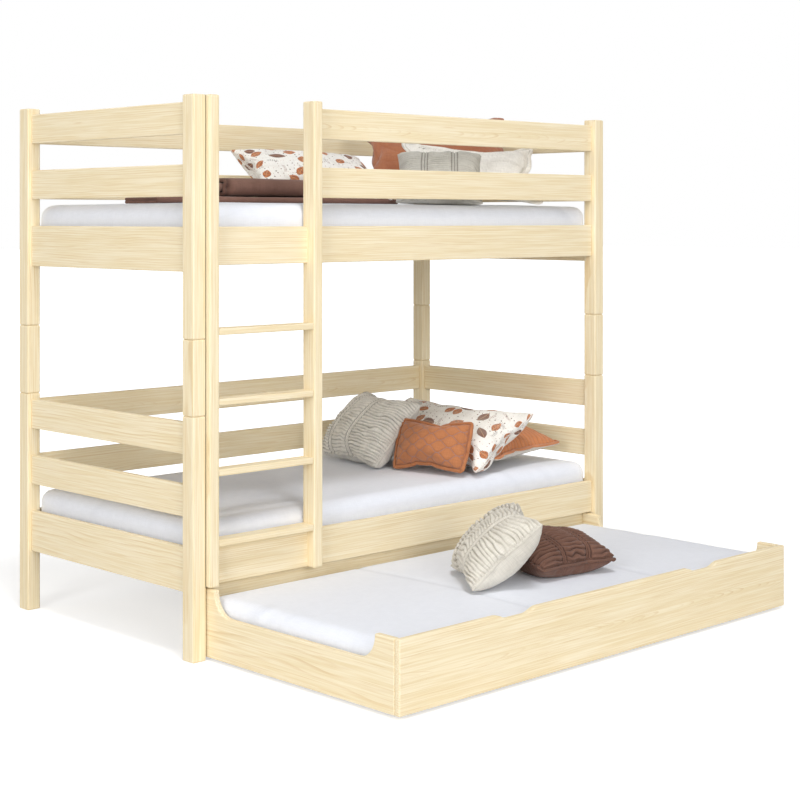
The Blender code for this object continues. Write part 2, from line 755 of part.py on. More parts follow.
def build_bases():
    """The two fixed beds' slatted bases, mattresses and cushions."""
    inner_x = BED_LENGTH / 2 - END_SETBACK - BOARD_THICKNESS
    inner_y = BED_DEPTH / 2 - SIDE_SETBACK - BOARD_THICKNESS
    middle = (FRONT + REAR) / 2
    reach_x = BED_LENGTH / 2 - POST_X - FIT_GAP - LEDGER_END_CLEARANCE
    for bed, base in BEDS:
        level = ledger_top(base) + FIT_GAP
        reach_y = inner_y - SLAT_END_CLEARANCE
        slats = slatted_base(
            (-reach_x, middle - reach_y, level), (reach_x, middle + reach_y, level), SLAT_THICKNESS
        )
        add_object(f"{bed}_slats", slats, SLAT_PINE)
        pad = mattress(
            inner_x - MATTRESS_END_CLEARANCE,
            inner_y - MATTRESS_SIDE_CLEARANCE,
            mattress_bottom(base),
            MATTRESS_THICKNESS,
        )
        bmesh.ops.translate(pad, vec=(0, middle, 0), verts=pad.verts)
        if bed == "lower":
            bodies = [cushion_body(cushion, base) for cushion in LOWER_CUSHIONS]
        else:
            bodies = [cushion_body(cushion, base) for cushion in UPPER_CUSHIONS]
            bodies.append(folded_throw(base))
        build_cushions(f"{bed}_cushions", bodies, pad)
        add_object(f"{bed}_mattress", pad, SHEET_COTTON)


# Trundle sizes that follow from the bed. Its own frame has y zero at its front face.
TRUNDLE_HALF_X = BED_LENGTH / 2 - POST_X - TRUNDLE_SIDE_CLEARANCE
TRUNDLE_TOP = SIDE_RAIL_LOW - TRUNDLE_TOP_CLEARANCE
TRUNDLE_FRONT = FRONT - TRUNDLE_OUT
TRUNDLE_LEDGER_TOP = TRUNDLE_LEDGER_BOTTOM + TRUNDLE_LEDGER_HEIGHT
CUTOUT_DEPTH = (TRUNDLE_TOP - TRUNDLE_FLOOR_GAP) * CUTOUT_DEPTH_SHARE
CUTOUT_RADIUS = CUTOUT_DEPTH * CUTOUT_RADIUS_SHARE


def arc(centre_u, centre_v, radius, start, end, steps):
    """Points of an arc from start to end degrees."""
    points = []
    for step in range(steps + 1):
        angle = math.radians(start + (end - start) * step / steps)
        points.append((centre_u + radius * math.cos(angle), centre_v + radius * math.sin(angle)))
    return points


def side_panel_outline():
    """A trundle side in (y, z): raised ends, and between them a long cut-out with quarter rounds."""
    start = TRUNDLE_PANEL + FIT_GAP
    end = TRUNDLE_DEPTH - TRUNDLE_PANEL - FIT_GAP
    floor = TRUNDLE_TOP - CUTOUT_DEPTH
    arcs = floor + CUTOUT_RADIUS
    outline = [(start, TRUNDLE_FLOOR_GAP), (end, TRUNDLE_FLOOR_GAP), (end, TRUNDLE_TOP)]
    outline.append((TRUNDLE_DEPTH - RAISED_END, TRUNDLE_TOP))
    rear = TRUNDLE_DEPTH - RAISED_END - CUTOUT_RADIUS
    outline += arc(rear, arcs, CUTOUT_RADIUS, 0, -90, CUTOUT_ARC_STEPS)
    front = RAISED_END + CUTOUT_RADIUS
    outline += arc(front, arcs, CUTOUT_RADIUS, -90, -180, CUTOUT_ARC_STEPS)
    outline += [(RAISED_END, TRUNDLE_TOP), (start, TRUNDLE_TOP)]
    return outline


def front_panel_outline():
    """The trundle's front in (x, z): a board with two shallow finger notches in its top edge."""
    half = TRUNDLE_HALF_X
    outline = [(-half, TRUNDLE_TOP), (-half, TRUNDLE_FLOOR_GAP), (half, TRUNDLE_FLOOR_GAP)]
    outline.append((half, TRUNDLE_TOP))
    ramp = (NOTCH_WIDTH - NOTCH_FLAT) / 2
    for centre in (NOTCH_FROM_CENTRE, -NOTCH_FROM_CENTRE):
        for side in (1, -1):
            for step in range(NOTCH_RAMP_STEPS + 1):
                share = step / NOTCH_RAMP_STEPS
                if side < 0:
                    share = 1 - share
                u = centre + side * (NOTCH_WIDTH / 2 - ramp * share)
                depth = NOTCH_DEPTH * (1 - math.cos(math.pi * share)) / 2
                outline.append((u, TRUNDLE_TOP - depth))
    return outline


def trundle_ledger(side):
    """The strip on a front or rear panel that carries the slats, between the castor blocks."""
    half = TRUNDLE_HALF_X - TRUNDLE_PANEL - CASTOR_BLOCK_X - 2 * FIT_GAP
    if side == "front":
        y_low, y_high = TRUNDLE_PANEL - JOIN_OVERLAP, TRUNDLE_PANEL + TRUNDLE_LEDGER_WIDTH
    else:
        y_low = TRUNDLE_DEPTH - TRUNDLE_PANEL - TRUNDLE_LEDGER_WIDTH
        y_high = TRUNDLE_DEPTH - TRUNDLE_PANEL + JOIN_OVERLAP
    return box((-half, y_low, TRUNDLE_LEDGER_BOTTOM), (half, y_high, TRUNDLE_LEDGER_TOP))


def castor_blocks(side):
    """The two blocks glued to a side panel's inner face, which the castors are screwed to."""
    inner = side * (TRUNDLE_HALF_X - TRUNDLE_PANEL)
    xs = sorted((inner + side * JOIN_OVERLAP, inner - side * CASTOR_BLOCK_X))
    bm = bmesh.new()
    for y in (TRUNDLE_PANEL + FIT_GAP, TRUNDLE_DEPTH - TRUNDLE_PANEL - FIT_GAP - CASTOR_BLOCK_Y):
        add_box(
            bm,
            (xs[0], y, TRUNDLE_LEDGER_BOTTOM),
            (xs[1], y + CASTOR_BLOCK_Y, TRUNDLE_LEDGER_TOP),
        )
    return bm


def build_trundle(carrier):
    """The trundle's four panels, slatted base and mattress, in the carrier's frame."""
    front = prism(front_panel_outline(), 0, TRUNDLE_PANEL, lambda u, v, d: Vector((u, d, v)))
    ease_edges(front, TRUNDLE_EDGE)
    front = boolean(front, trundle_ledger("front"), "UNION")
    add_object("trundle_front_panel", front, PINE, carrier)

    rear = box(
        (-TRUNDLE_HALF_X, TRUNDLE_DEPTH - TRUNDLE_PANEL, TRUNDLE_FLOOR_GAP),
        (TRUNDLE_HALF_X, TRUNDLE_DEPTH, TRUNDLE_TOP),
        TRUNDLE_EDGE,
    )
    rear = boolean(rear, trundle_ledger("rear"), "UNION")
    add_object("trundle_rear_panel", rear, PINE, carrier)

    for name, side in (("left", -1), ("right", 1)):
        outer = side * TRUNDLE_HALF_X
        inner = outer - side * TRUNDLE_PANEL
        low, high = sorted((outer, inner))
        panel = prism(side_panel_outline(), low, high, lambda u, v, d: Vector((d, u, v)))
        ease_edges(panel, TRUNDLE_EDGE)
        panel = boolean(panel, castor_blocks(side), "UNION")
        add_object(f"trundle_{name}_panel", panel, PINE, carrier)

    reach_x = TRUNDLE_HALF_X - TRUNDLE_PANEL - CASTOR_BLOCK_X - LEDGER_END_CLEARANCE
    y_low = TRUNDLE_PANEL + SLAT_END_CLEARANCE
    y_high = TRUNDLE_DEPTH - TRUNDLE_PANEL - SLAT_END_CLEARANCE
    level = TRUNDLE_LEDGER_TOP + FIT_GAP
    slats = slatted_base((-reach_x, y_low, level), (reach_x, y_high, level), TRUNDLE_SLAT_THICKNESS)
    add_object("trundle_slats", slats, SLAT_PINE, carrier)

    pad_bottom = level + TRUNDLE_SLAT_THICKNESS + FIT_GAP
    pad = mattress(
        TRUNDLE_HALF_X - TRUNDLE_PANEL - TRUNDLE_MATTRESS_CLEARANCE,
        TRUNDLE_DEPTH / 2 - TRUNDLE_PANEL - TRUNDLE_MATTRESS_CLEARANCE,
        pad_bottom,
        TRUNDLE_TOP - TRUNDLE_MATTRESS_RECESS - pad_bottom,
    )
    bmesh.ops.translate(pad, vec=(0, TRUNDLE_DEPTH / 2, 0), verts=pad.verts)
    add_object("trundle_mattress", pad, SHEET_COTTON, carrier)


def castor_bracket():
    """A fixed fork about its axle: a plate under the block, two cheeks, and the axle across them."""
    inner = WHEEL_WIDTH / 2 + FORK_SIDE_CLEARANCE
    outer = inner + FORK_PLATE
    plate_top = TRUNDLE_LEDGER_BOTTOM - FIT_GAP - WHEEL_RADIUS
    plate = box(
        (-FORK_PLATE_X / 2, -FORK_PLATE_Y / 2, plate_top - FORK_PLATE),
        (FORK_PLATE_X / 2, FORK_PLATE_Y / 2, plate_top),
    )
    cheeks = bmesh.new()
    for low, high in ((-outer, -inner), (inner, outer)):
        add_box(
            cheeks,
            (low, -FORK_CHEEK_LENGTH / 2, -FORK_BELOW_AXLE),
            (high, FORK_CHEEK_LENGTH / 2, plate_top - FORK_PLATE / 2),
        )
    axle = bmesh.new()
    reach = outer + FORK_PLATE
    add_cylinder(axle, (-reach, 0, 0), (reach, 0, 0), AXLE_RADIUS, WHEEL_SIDES)
    return boolean(boolean(plate, cheeks, "UNION"), axle, "UNION")


def castor_wheel():
    """A wheel about the X axis: a crowned tread, recessed faces, a hub and a bore for the axle."""
    bore = (AXLE_RADIUS + AXLE_CLEARANCE) / math.cos(math.pi / WHEEL_SIDES)
    half = WHEEL_WIDTH / 2
    rim = WHEEL_RADIUS - WHEEL_TREAD_CROWN
    recess = half - WHEEL_FACE_RECESS
    side = (
        (half, bore),
        (half, WHEEL_HUB_RADIUS),
        (recess, WHEEL_HUB_RADIUS + WHEEL_FACE_RECESS),
        (half, rim - WHEEL_FACE_RECESS),
        (half, rim),
        (0, WHEEL_RADIUS),
    )
    profile = list(side) + [(-x, r) for x, r in reversed(side[:-1])]
    bm = bmesh.new()
    rings = []
    for turn in range(WHEEL_SIDES):
        angle = 2 * math.pi * turn / WHEEL_SIDES
        cos, sin = math.cos(angle), math.sin(angle)
        rings.append([bm.verts.new((x, r * sin, -r * cos)) for x, r in profile])
    for turn in range(WHEEL_SIDES):
        ring, after = rings[turn], rings[(turn + 1) % WHEEL_SIDES]
        for index in range(len(profile)):
            following = (index + 1) % len(profile)
            bm.faces.new((ring[index], ring[following], after[following], after[index]))
    bmesh.ops.recalc_face_normals(bm, faces=bm.faces)
    return bm


def build_castors(carrier):
    """A fixed castor under each corner of the trundle, its wheel on an axis along X."""
    half_x = TRUNDLE_HALF_X - TRUNDLE_PANEL - CASTOR_BLOCK_X / 2
    front = TRUNDLE_PANEL + CASTOR_BLOCK_Y / 2
    for row, y in (("front", front), ("rear", TRUNDLE_DEPTH - front)):
        for side, x in (("left", -half_x), ("right", half_x)):
            place = (x, y, WHEEL_RADIUS)
            add_object(f"castor_bracket_{row}_{side}", castor_bracket(), STEEL, carrier, place)
            add_object(f"castor_wheel_{row}_{side}", castor_wheel(), TYRE_PLASTIC, carrier, place)


def main():
    """Builds the whole bed."""
    clear_scene()
    build_posts()
    build_boards()
    build_ladder()
    build_bases()
    carrier = add_empty("trundle_carrier", (0, TRUNDLE_FRONT, 0))
    build_trundle(carrier)
    build_castors(carrier)


main()
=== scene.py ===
"""Pine bunk bed with a ladder, three made-up mattresses, loose cushions and a trundle on castors.

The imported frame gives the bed's wooden and metal parts. This script gives them their finishes, and
makes the soft goods: three mattresses in white covers, ten stuffed cushions and a folded throw.
Metres, +Z up, +X along the bed, and -Y towards the ladder.
"""

import logging
import math
from dataclasses import dataclass
from enum import Enum
from itertools import product
from typing import Callable, NamedTuple

import bmesh
import bpy
import numpy as np
from mathutils import Matrix, Vector
from mathutils.bvhtree import BVHTree


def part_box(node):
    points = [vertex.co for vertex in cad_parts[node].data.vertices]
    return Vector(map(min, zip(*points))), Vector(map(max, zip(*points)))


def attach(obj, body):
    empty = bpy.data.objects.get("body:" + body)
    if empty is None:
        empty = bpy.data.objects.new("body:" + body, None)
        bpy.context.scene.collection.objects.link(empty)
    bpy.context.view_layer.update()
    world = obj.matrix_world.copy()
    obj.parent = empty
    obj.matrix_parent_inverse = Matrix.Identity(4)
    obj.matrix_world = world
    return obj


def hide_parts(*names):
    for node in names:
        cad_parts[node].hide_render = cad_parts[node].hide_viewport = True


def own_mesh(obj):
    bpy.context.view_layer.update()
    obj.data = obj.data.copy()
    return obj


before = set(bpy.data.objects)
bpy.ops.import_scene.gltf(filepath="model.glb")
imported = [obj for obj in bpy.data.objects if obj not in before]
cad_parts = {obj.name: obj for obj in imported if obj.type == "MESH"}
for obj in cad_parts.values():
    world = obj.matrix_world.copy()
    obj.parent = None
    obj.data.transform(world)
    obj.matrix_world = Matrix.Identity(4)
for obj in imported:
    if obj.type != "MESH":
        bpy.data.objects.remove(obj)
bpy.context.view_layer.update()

Colour = tuple[float, float, float, float]
Socket = bpy.types.NodeSocket
Feed = Socket | float | tuple

log = logging.getLogger("bunk_bed")


def srgb(red: int, green: int, blue: int) -> Colour:
    """Turns a colour as a screen shows it into the linear one that a shader takes.

    Args:
        red, green, blue: The screen's levels, from 0 to 255.

    Returns:
        The linear colour, with full alpha.
    """
    levels = (level / 255 for level in (red, green, blue))
    linear = [x / 12.92 if x <= 0.04045 else ((x + 0.055) / 1.055) ** 2.4 for x in levels]
    return (linear[0], linear[1], linear[2], 1.0)


class Bench:
    """A node tree at work: it places nodes and joins their sockets."""

    def __init__(self, tree: bpy.types.NodeTree) -> None:
        """Takes the tree to work on."""
        self.tree = tree

    def node(self, kind: str, inputs: dict | None = None, **settings: object) -> bpy.types.Node:
        """Places a node.

        Args:
            kind: The node's type, as Blender names it.
            inputs: What feeds its input sockets, by their name or index.
            settings: The node's own options.

        Returns:
            The node.
        """
        made = self.tree.nodes.new(kind)
        for key, value in settings.items():
            setattr(made, key, value)
        for key, value in (inputs or {}).items():
            self.feed(made.inputs[key], value)
        return made

    def feed(self, socket: Socket, value: Feed) -> None:
        """Joins an output to a socket, or sets the socket's own value."""
        if isinstance(value, bpy.types.NodeSocket):
            self.tree.links.new(value, socket)
        else:
            socket.default_value = value

    def math(self, operation: str, first: Feed, second: Feed = 0.0, third: Feed = 0.0) -> Socket:
        """Places a Math node and returns its result."""
        inputs = {0: first, 1: second, 2: third}
        return self.node("ShaderNodeMath", inputs, operation=operation).outputs[0]

    def vector(self, operation: str, first: Feed, second: Feed = (0.0, 0.0, 0.0)) -> Socket:
        """Places a Vector Math node and returns its vector."""
        inputs = {0: first, 1: second}
        return self.node("ShaderNodeVectorMath", inputs, operation=operation).outputs[0]

    def stretch(self, value: Feed, low: float, high: float, to: tuple = (0.0, 1.0)) -> Socket:
        """Maps a value from low and high to a range, smoothly and clamped at its ends."""
        inputs = {"Value": value, 1: low, 2: high, 3: to[0], 4: to[1]}
        made = self.node("ShaderNodeMapRange", inputs, interpolation_type="SMOOTHSTEP")
        return made.outputs["Result"]

    def mix(self, share: Feed, first: Feed, second: Feed, blend: str = "MIX") -> Socket:
        """Mixes two colours by a share."""
        made = self.node("ShaderNodeMix", data_type="RGBA", blend_type=blend)
        self.feed(made.inputs["Factor"], share)
        self.feed(made.inputs[6], first)
        self.feed(made.inputs[7], second)
        return made.outputs[2]

    def parts(self, vector: Feed) -> list[Socket]:
        """Splits a vector into its three parts."""
        return list(self.node("ShaderNodeSeparateXYZ", {0: vector}).outputs)

    def join(self, x: Feed = 0.0, y: Feed = 0.0, z: Feed = 0.0) -> Socket:
        """Joins three numbers into a vector."""
        return self.node("ShaderNodeCombineXYZ", {0: x, 1: y, 2: z}).outputs[0]

    def noise(self, vector: Feed, scale: float, detail: float = 2.0, warp: float = 0.0) -> Socket:
        """Places a Noise Texture and returns its value."""
        inputs = {"Vector": vector, "Scale": scale, "Detail": detail, "Distortion": warp}
        return self.node("ShaderNodeTexNoise", inputs).outputs[0]

    def bump(self, height: Feed, strength: float, distance: float) -> Socket:
        """Places a Bump node and returns its normal."""
        inputs = {"Height": height, "Strength": strength, "Distance": distance}
        return self.node("ShaderNodeBump", inputs).outputs[0]


class SharedEffects:
    """The node groups that more than one material uses, each built once."""

    def __init__(self) -> None:
        """Starts with nothing built."""
        self.built: dict[str, bpy.types.NodeTree] = {}

    def group(
        self, name: str, inputs: dict[str, str], outputs: dict[str, str]
    ) -> tuple[Bench, dict[str, Socket], bpy.types.Node]:
        """Starts a node group with named sockets.

        Args:
            name: The group's name.
            inputs: The type of each input socket, by name.
            outputs: The type of each output socket, by name.

        Returns:
            A bench on the group, its inputs by name, and its output node.
        """
        tree = bpy.data.node_groups.new(name, "ShaderNodeTree")
        for side, sockets in (("INPUT", inputs), ("OUTPUT", outputs)):
            for label, kind in sockets.items():
                tree.interface.new_socket(label, in_out=side, socket_type=f"NodeSocket{kind}")
        bench = Bench(tree)
        entry = bench.node("NodeGroupInput")
        leave = bench.node("NodeGroupOutput")
        self.built[name] = tree
        return bench, {label: entry.outputs[label] for label in inputs}, leave

    def place(self, bench: Bench, name: str, inputs: dict[str, Feed]) -> dict[str, Socket]:
        """Places a shared group in a material.

        Args:
            bench: The material's bench.
            name: The group's name, which is the name of the method that builds it.
            inputs: What feeds its inputs, by name.

        Returns:
            The group's outputs by name.
        """
        if name not in self.built:
            getattr(self, name)()
        made = bench.node("ShaderNodeGroup", node_tree=self.built[name])
        for key, value in inputs.items():
            bench.feed(made.inputs[key], value)
        return {output.name: output for output in made.outputs}

    def pine_figure(self) -> None:
        """Growth rings of a log cut lengthwise along X, with fibres and broad streaks."""
        bench, given, leave = self.group(
            "pine_figure",
            {
                "Vector": "Vector",
                "Shift": "Vector",
                "Ring Pitch": "Float",
                "Waviness": "Float",
                "Taper": "Float",
            },
            {"Late Wood": "Float", "Streak": "Float", "Fibre": "Float"},
        )
        place = bench.vector("ADD", given["Vector"], given["Shift"])
        x, y, z = bench.parts(place)
        slow = bench.noise(bench.vector("MULTIPLY", place, (1.6, 5.0, 5.0)), 1.0, 2.0)
        slow = bench.math("SUBTRACT", slow, 0.5)
        quick = bench.noise(bench.vector("MULTIPLY", place, (9.0, 60.0, 60.0)), 1.0, 2.0)
        quick = bench.math("SUBTRACT", quick, 0.5)
        drift = bench.math("MULTIPLY", slow, given["Waviness"])
        drift = bench.math("MULTIPLY_ADD", quick, 0.0014, drift)
        flat = bench.join(0.0, bench.math("ADD", y, drift), bench.math("ADD", z, drift))
        radius = bench.node("ShaderNodeVectorMath", {0: flat}, operation="LENGTH").outputs["Value"]
        level = bench.math("ABSOLUTE", bench.math("MULTIPLY_ADD", slow, 0.10, z))
        heart = bench.math("MULTIPLY", bench.stretch(level, 0.008, 0.055, (1.0, 0.0)), given["Taper"])
        radius = bench.math("MULTIPLY_ADD", heart, x, radius)
        rings = bench.math("DIVIDE", radius, given["Ring Pitch"])
        phase = bench.math("FRACT", rings)
        rise = bench.stretch(phase, 0.52, 0.92)
        fall = bench.stretch(phase, 0.93, 1.0, (1.0, 0.0))
        late = bench.math("MULTIPLY", rise, fall)
        ring_number = bench.math("FLOOR", rings)
        each = bench.node("ShaderNodeTexWhiteNoise", {"W": ring_number}, noise_dimensions="1D")
        amount = bench.stretch(each.outputs["Value"], 0.0, 1.0, (0.25, 1.0))
        patchy = bench.noise(bench.vector("MULTIPLY", place, (4.0, 30.0, 30.0)), 1.0, 2.0)
        amount = bench.math("MULTIPLY", amount, bench.stretch(patchy, 0.34, 0.62))
        late = bench.math("MULTIPLY", late, amount)
        resin = bench.noise(bench.vector("MULTIPLY", place, (5.5, 340.0, 340.0)), 1.0, 1.0)
        resin = bench.stretch(resin, 0.64, 0.74, (0.0, 0.8))
        late = bench.math("MAXIMUM", late, resin)
        streak = bench.noise(bench.vector("MULTIPLY", place, (4.2, 230.0, 230.0)), 1.0, 3.0)
        fibre = bench.noise(bench.vector("MULTIPLY", place, (7.0, 620.0, 620.0)), 1.0, 2.0)
        bench.feed(leave.inputs["Late Wood"], late)
        bench.feed(leave.inputs["Streak"], bench.stretch(streak, 0.34, 0.66))
        bench.feed(leave.inputs["Fibre"], fibre)

    def plain_weave(self) -> None:
        """Threads over and under each other, with slubs, on a cloth's own measure."""
        bench, given, leave = self.group(
            "plain_weave",
            {"Vector": "Vector", "Threads": "Float"},
            {"Height": "Float", "Slub": "Float"},
        )
        scale = bench.node("ShaderNodeVectorMath", {0: given["Vector"]}, operation="SCALE")
        bench.feed(scale.inputs["Scale"], given["Threads"])
        u, v, _ = bench.parts(scale.outputs[0])
        over = []
        for across, along in ((u, v), (v, u)):
            thread = bench.math("ABSOLUTE", bench.math("SINE", bench.math("MULTIPLY", across, math.pi)))
            row = bench.math("MULTIPLY", bench.math("FLOOR", across), math.pi)
            lift = bench.math("SINE", bench.math("MULTIPLY_ADD", along, math.pi, row))
            over.append(bench.math("MULTIPLY", thread, bench.math("MULTIPLY_ADD", lift, 0.5, 0.5)))
        height = bench.math("MAXIMUM", over[0], over[1])
        long_slubs = [
            bench.noise(bench.vector("MULTIPLY", given["Vector"], stretch), 1.0, 2.0)
            for stretch in ((30.0, 520.0, 1.0), (520.0, 30.0, 1.0))
        ]
        bench.feed(leave.inputs["Height"], height)
        bench.feed(leave.inputs["Slub"], bench.math("ADD", long_slubs[0], long_slubs[1]))

    def crumple(self) -> None:
        """Soft creases of handled cloth, as a height, and a mask of broad random patches."""
        bench, given, leave = self.group(
            "crumple",
            {"Vector": "Vector", "Scale": "Float"},
            {"Height": "Float", "Dark Patches": "Float"},
        )
        place = bench.node("ShaderNodeVectorMath", {0: given["Vector"]}, operation="SCALE")
        bench.feed(place.inputs["Scale"], given["Scale"])
        folds = bench.noise(place.outputs[0], 1.0, 3.0, 0.6)
        ridge = bench.math("ABSOLUTE", bench.math("SUBTRACT", folds, 0.5))
        bench.feed(leave.inputs["Height"], bench.stretch(ridge, 0.0, 0.16))
        bench.feed(leave.inputs["Dark Patches"], bench.stretch(folds, 0.35, 0.7))

    def scattered_seeds(self) -> None:
        """A generic cotton print: almond leaves, berried twigs and dots, strewn at random."""
        bench, given, leave = self.group(
            "scattered_seeds",
            {"Vector": "Vector", "Ground": "Color"},
            {"Color": "Color"},
        )
        colour: Feed = given["Ground"]
        spots = (
            ("dots", 58.0, 0.62),
            ("twig", 16.0, 0.66),
            ("leaf", 14.5, 0.88),
        )
        for index, (kind, scale, wanted) in enumerate(spots):
            moved = bench.vector("ADD", given["Vector"], (0.37 * index + 0.11, 0.73 * index, 0.0))
            inputs = {"Vector": moved, "Scale": scale, "Randomness": 0.66}
            cells = bench.node("ShaderNodeTexVoronoi", inputs, voronoi_dimensions="2D")
            pick, turn, shade = bench.parts(cells.outputs["Color"])
            shown = bench.math("LESS_THAN", pick, wanted)
            local = bench.vector("SUBTRACT", moved, cells.outputs["Position"])
            angle = bench.math("MULTIPLY", turn, math.tau)
            turned = bench.node(
                "ShaderNodeVectorRotate",
                {"Vector": local, "Angle": angle},
                rotation_type="Z_AXIS",
            )
            x, y, _ = bench.parts(turned.outputs[0])
            off = bench.math("ABSOLUTE", y)
            if kind == "dots":
                reach = bench.math("MULTIPLY_ADD", shade, 0.0018, 0.0009)
                away = bench.node("ShaderNodeVectorMath", {0: local}, operation="LENGTH")
                mask = bench.math("LESS_THAN", away.outputs["Value"], reach)
                tone = bench.mix(shade, srgb(176, 88, 44), srgb(84, 52, 40))
            elif kind == "leaf":
                along = bench.math("DIVIDE", x, bench.math("MULTIPLY_ADD", shade, 0.009, 0.021))
                belly = bench.math("SUBTRACT", 1.0, bench.math("MULTIPLY", along, along))
                reach = bench.math("MULTIPLY", belly, 0.0150)
                mask = bench.math("LESS_THAN", off, reach)
                blot = bench.noise(moved, 150.0, 3.0)
                blot = bench.stretch(blot, 0.35, 0.65)
                tone = bench.mix(blot, srgb(214, 120, 36), srgb(140, 70, 24))
                dark = bench.math("GREATER_THAN", shade, 0.7)
                tone = bench.mix(dark, tone, srgb(112, 56, 26))
                rib = bench.math("LESS_THAN", off, 0.0006)
                tone = bench.mix(bench.math("MULTIPLY", rib, 0.8), tone, srgb(232, 190, 140))
            else:
                bend = bench.math("MULTIPLY", bench.math("MULTIPLY", x, x), 9.0)
                off = bench.math("ABSOLUTE", bench.math("SUBTRACT", y, bend))
                inside = bench.math("LESS_THAN", bench.math("ABSOLUTE", x), 0.019)
                stem = bench.math("LESS_THAN", off, 0.00055)
                step = bench.math("PINGPONG", x, 0.0032)
                rise = bench.math("SUBTRACT", off, 0.0036)
                berry = bench.node(
                    "ShaderNodeVectorMath", {0: bench.join(step, rise, 0.0)}, operation="LENGTH"
                )
                berry = bench.math("LESS_THAN", berry.outputs["Value"], 0.0014)
                mask = bench.math("MULTIPLY", bench.math("MAXIMUM", stem, berry), inside)
                tone = bench.mix(shade, srgb(72, 54, 46), srgb(150, 86, 52))
            mask = bench.math("MULTIPLY", mask, shown)
            colour = bench.mix(bench.math("MULTIPLY", mask, 0.92), colour, tone)
        bench.feed(leave.inputs["Color"], colour)


EFFECTS = SharedEffects()


def new_material(name: str) -> tuple[bpy.types.Material, Bench, bpy.types.Node]:
    """Makes a material with a Principled shader.

    Args:
        name: The material's name.

    Returns:
        The material, a bench on its nodes, and its shader.
    """
    material = bpy.data.materials.new(name)
    material.use_nodes = True
    return material, Bench(material.node_tree), material.node_tree.nodes["Principled BSDF"]


class Grain(Enum):
    """The axis that a board's grain runs along, as the turn that brings it to X."""

    LENGTHWISE = (0.0, 0.0, 0.0)
    CROSSWISE = (0.0, 0.0, -math.pi / 2)
    UPRIGHT = (0.0, math.pi / 2, 0.0)


@dataclass(frozen=True)
class PineFinish:
    """Planed solid pine, sealed clear: pale wood, a little darker where the growth rings end."""

    early: Colour = srgb(249, 237, 209)
    warm: Colour = srgb(240, 224, 187)
    late: Colour = srgb(224, 197, 148)
    ring_pitch: float = 0.0064
    waviness: float = 0.024
    roughness: float = 0.55

    def material(
        self, name: str, grain: Grain, shift: tuple, taper: float = 0.0
    ) -> bpy.types.Material:
        """Makes the wood of one board.

        Args:
            name: The board's name.
            grain: The way that its grain runs.
            shift: Where in the log it was cut, so that no two boards look alike.
            taper: How fast the log narrows, which draws pointed arches along its heart.

        Returns:
            The material.
        """
        material, bench, shader = new_material(f"pine_{name}")
        place = bench.node("ShaderNodeTexCoord").outputs["Object"]
        turned = bench.node(
            "ShaderNodeMapping", {"Vector": place, "Rotation": grain.value}, vector_type="POINT"
        )
        figure = EFFECTS.place(
            bench,
            "pine_figure",
            {
                "Vector": turned.outputs[0],
                "Shift": shift,
                "Ring Pitch": self.ring_pitch,
                "Waviness": self.waviness,
                "Taper": taper,
            },
        )
        wood = bench.mix(figure["Streak"], self.early, self.warm)
        wood = bench.mix(bench.math("MULTIPLY", figure["Late Wood"], 0.7), wood, self.late)
        fibre = bench.stretch(figure["Fibre"], 0.3, 0.7, (0.0, 0.28))
        wood = bench.mix(fibre, wood, self.warm, "MULTIPLY")
        bench.feed(shader.inputs["Base Color"], wood)
        sheen = bench.math("MULTIPLY_ADD", figure["Late Wood"], -0.1, self.roughness)
        bench.feed(shader.inputs["Roughness"], sheen)
        relief = bench.math("MULTIPLY_ADD", figure["Late Wood"], 0.5, figure["Fibre"])
        bench.feed(shader.inputs["Normal"], bench.bump(relief, 0.25, 0.0003))
        shader.inputs["Specular IOR Level"].default_value = 0.35
        return material


@dataclass(frozen=True)
class SlatFinish:
    """Sawn slats on webbing tape: duller pine above a level, woven tape below it."""

    wood: PineFinish = PineFinish(
        early=srgb(236, 219, 178), warm=srgb(222, 198, 148), late=srgb(200, 166, 112)
    )
    tape: Colour = srgb(196, 192, 182)

    def material(self, name: str, tape_top: float) -> bpy.types.Material:
        """Makes the finish of one slatted base.

        Args:
            name: The base's name.
            tape_top: The level of the slats' underside, where the tapes are stapled on.

        Returns:
            The material.
        """
        material = self.wood.material(name, Grain.CROSSWISE, (0.31, 0.04, 0.07))
        bench = Bench(material.node_tree)
        shader = material.node_tree.nodes["Principled BSDF"]
        place = bench.node("ShaderNodeTexCoord").outputs["Object"]
        level = bench.parts(place)[2]
        below = bench.math("LESS_THAN", level, tape_top)
        weave = EFFECTS.place(bench, "plain_weave", {"Vector": place, "Threads": 700.0})
        # Painted shade between the tape's threads, where the weave dips.
        tape = bench.mix(weave["Height"], srgb(150, 146, 136), self.tape)
        wood = shader.inputs["Base Color"].links[0].from_socket
        bench.feed(shader.inputs["Base Color"], bench.mix(below, wood, tape))
        return material


@dataclass(frozen=True)
class ZincFinish:
    """Zinc-plated pressed steel: spangled, with a soft gloss."""

    colour: Colour = srgb(186, 188, 192)

    def material(self) -> bpy.types.Material:
        """Makes the castor brackets' material."""
        material, bench, shader = new_material("zinc_steel")
        place = bench.node("ShaderNodeTexCoord").outputs["Object"]
        grains = bench.node("ShaderNodeTexVoronoi", {"Vector": place, "Scale": 420.0})
        tint = bench.parts(grains.outputs["Color"])[0]
        dull = bench.mix(bench.stretch(tint, 0.0, 1.0), self.colour, srgb(154, 157, 163))
        bench.feed(shader.inputs["Base Color"], dull)
        scuffs = bench.noise(bench.vector("MULTIPLY", place, (40.0, 300.0, 300.0)), 1.0, 4.0)
        bench.feed(shader.inputs["Roughness"], bench.stretch(scuffs, 0.3, 0.7, (0.28, 0.5)))
        bench.feed(shader.inputs["Normal"], bench.bump(scuffs, 0.2, 0.0002))
        shader.inputs["Metallic"].default_value = 1.0
        return material


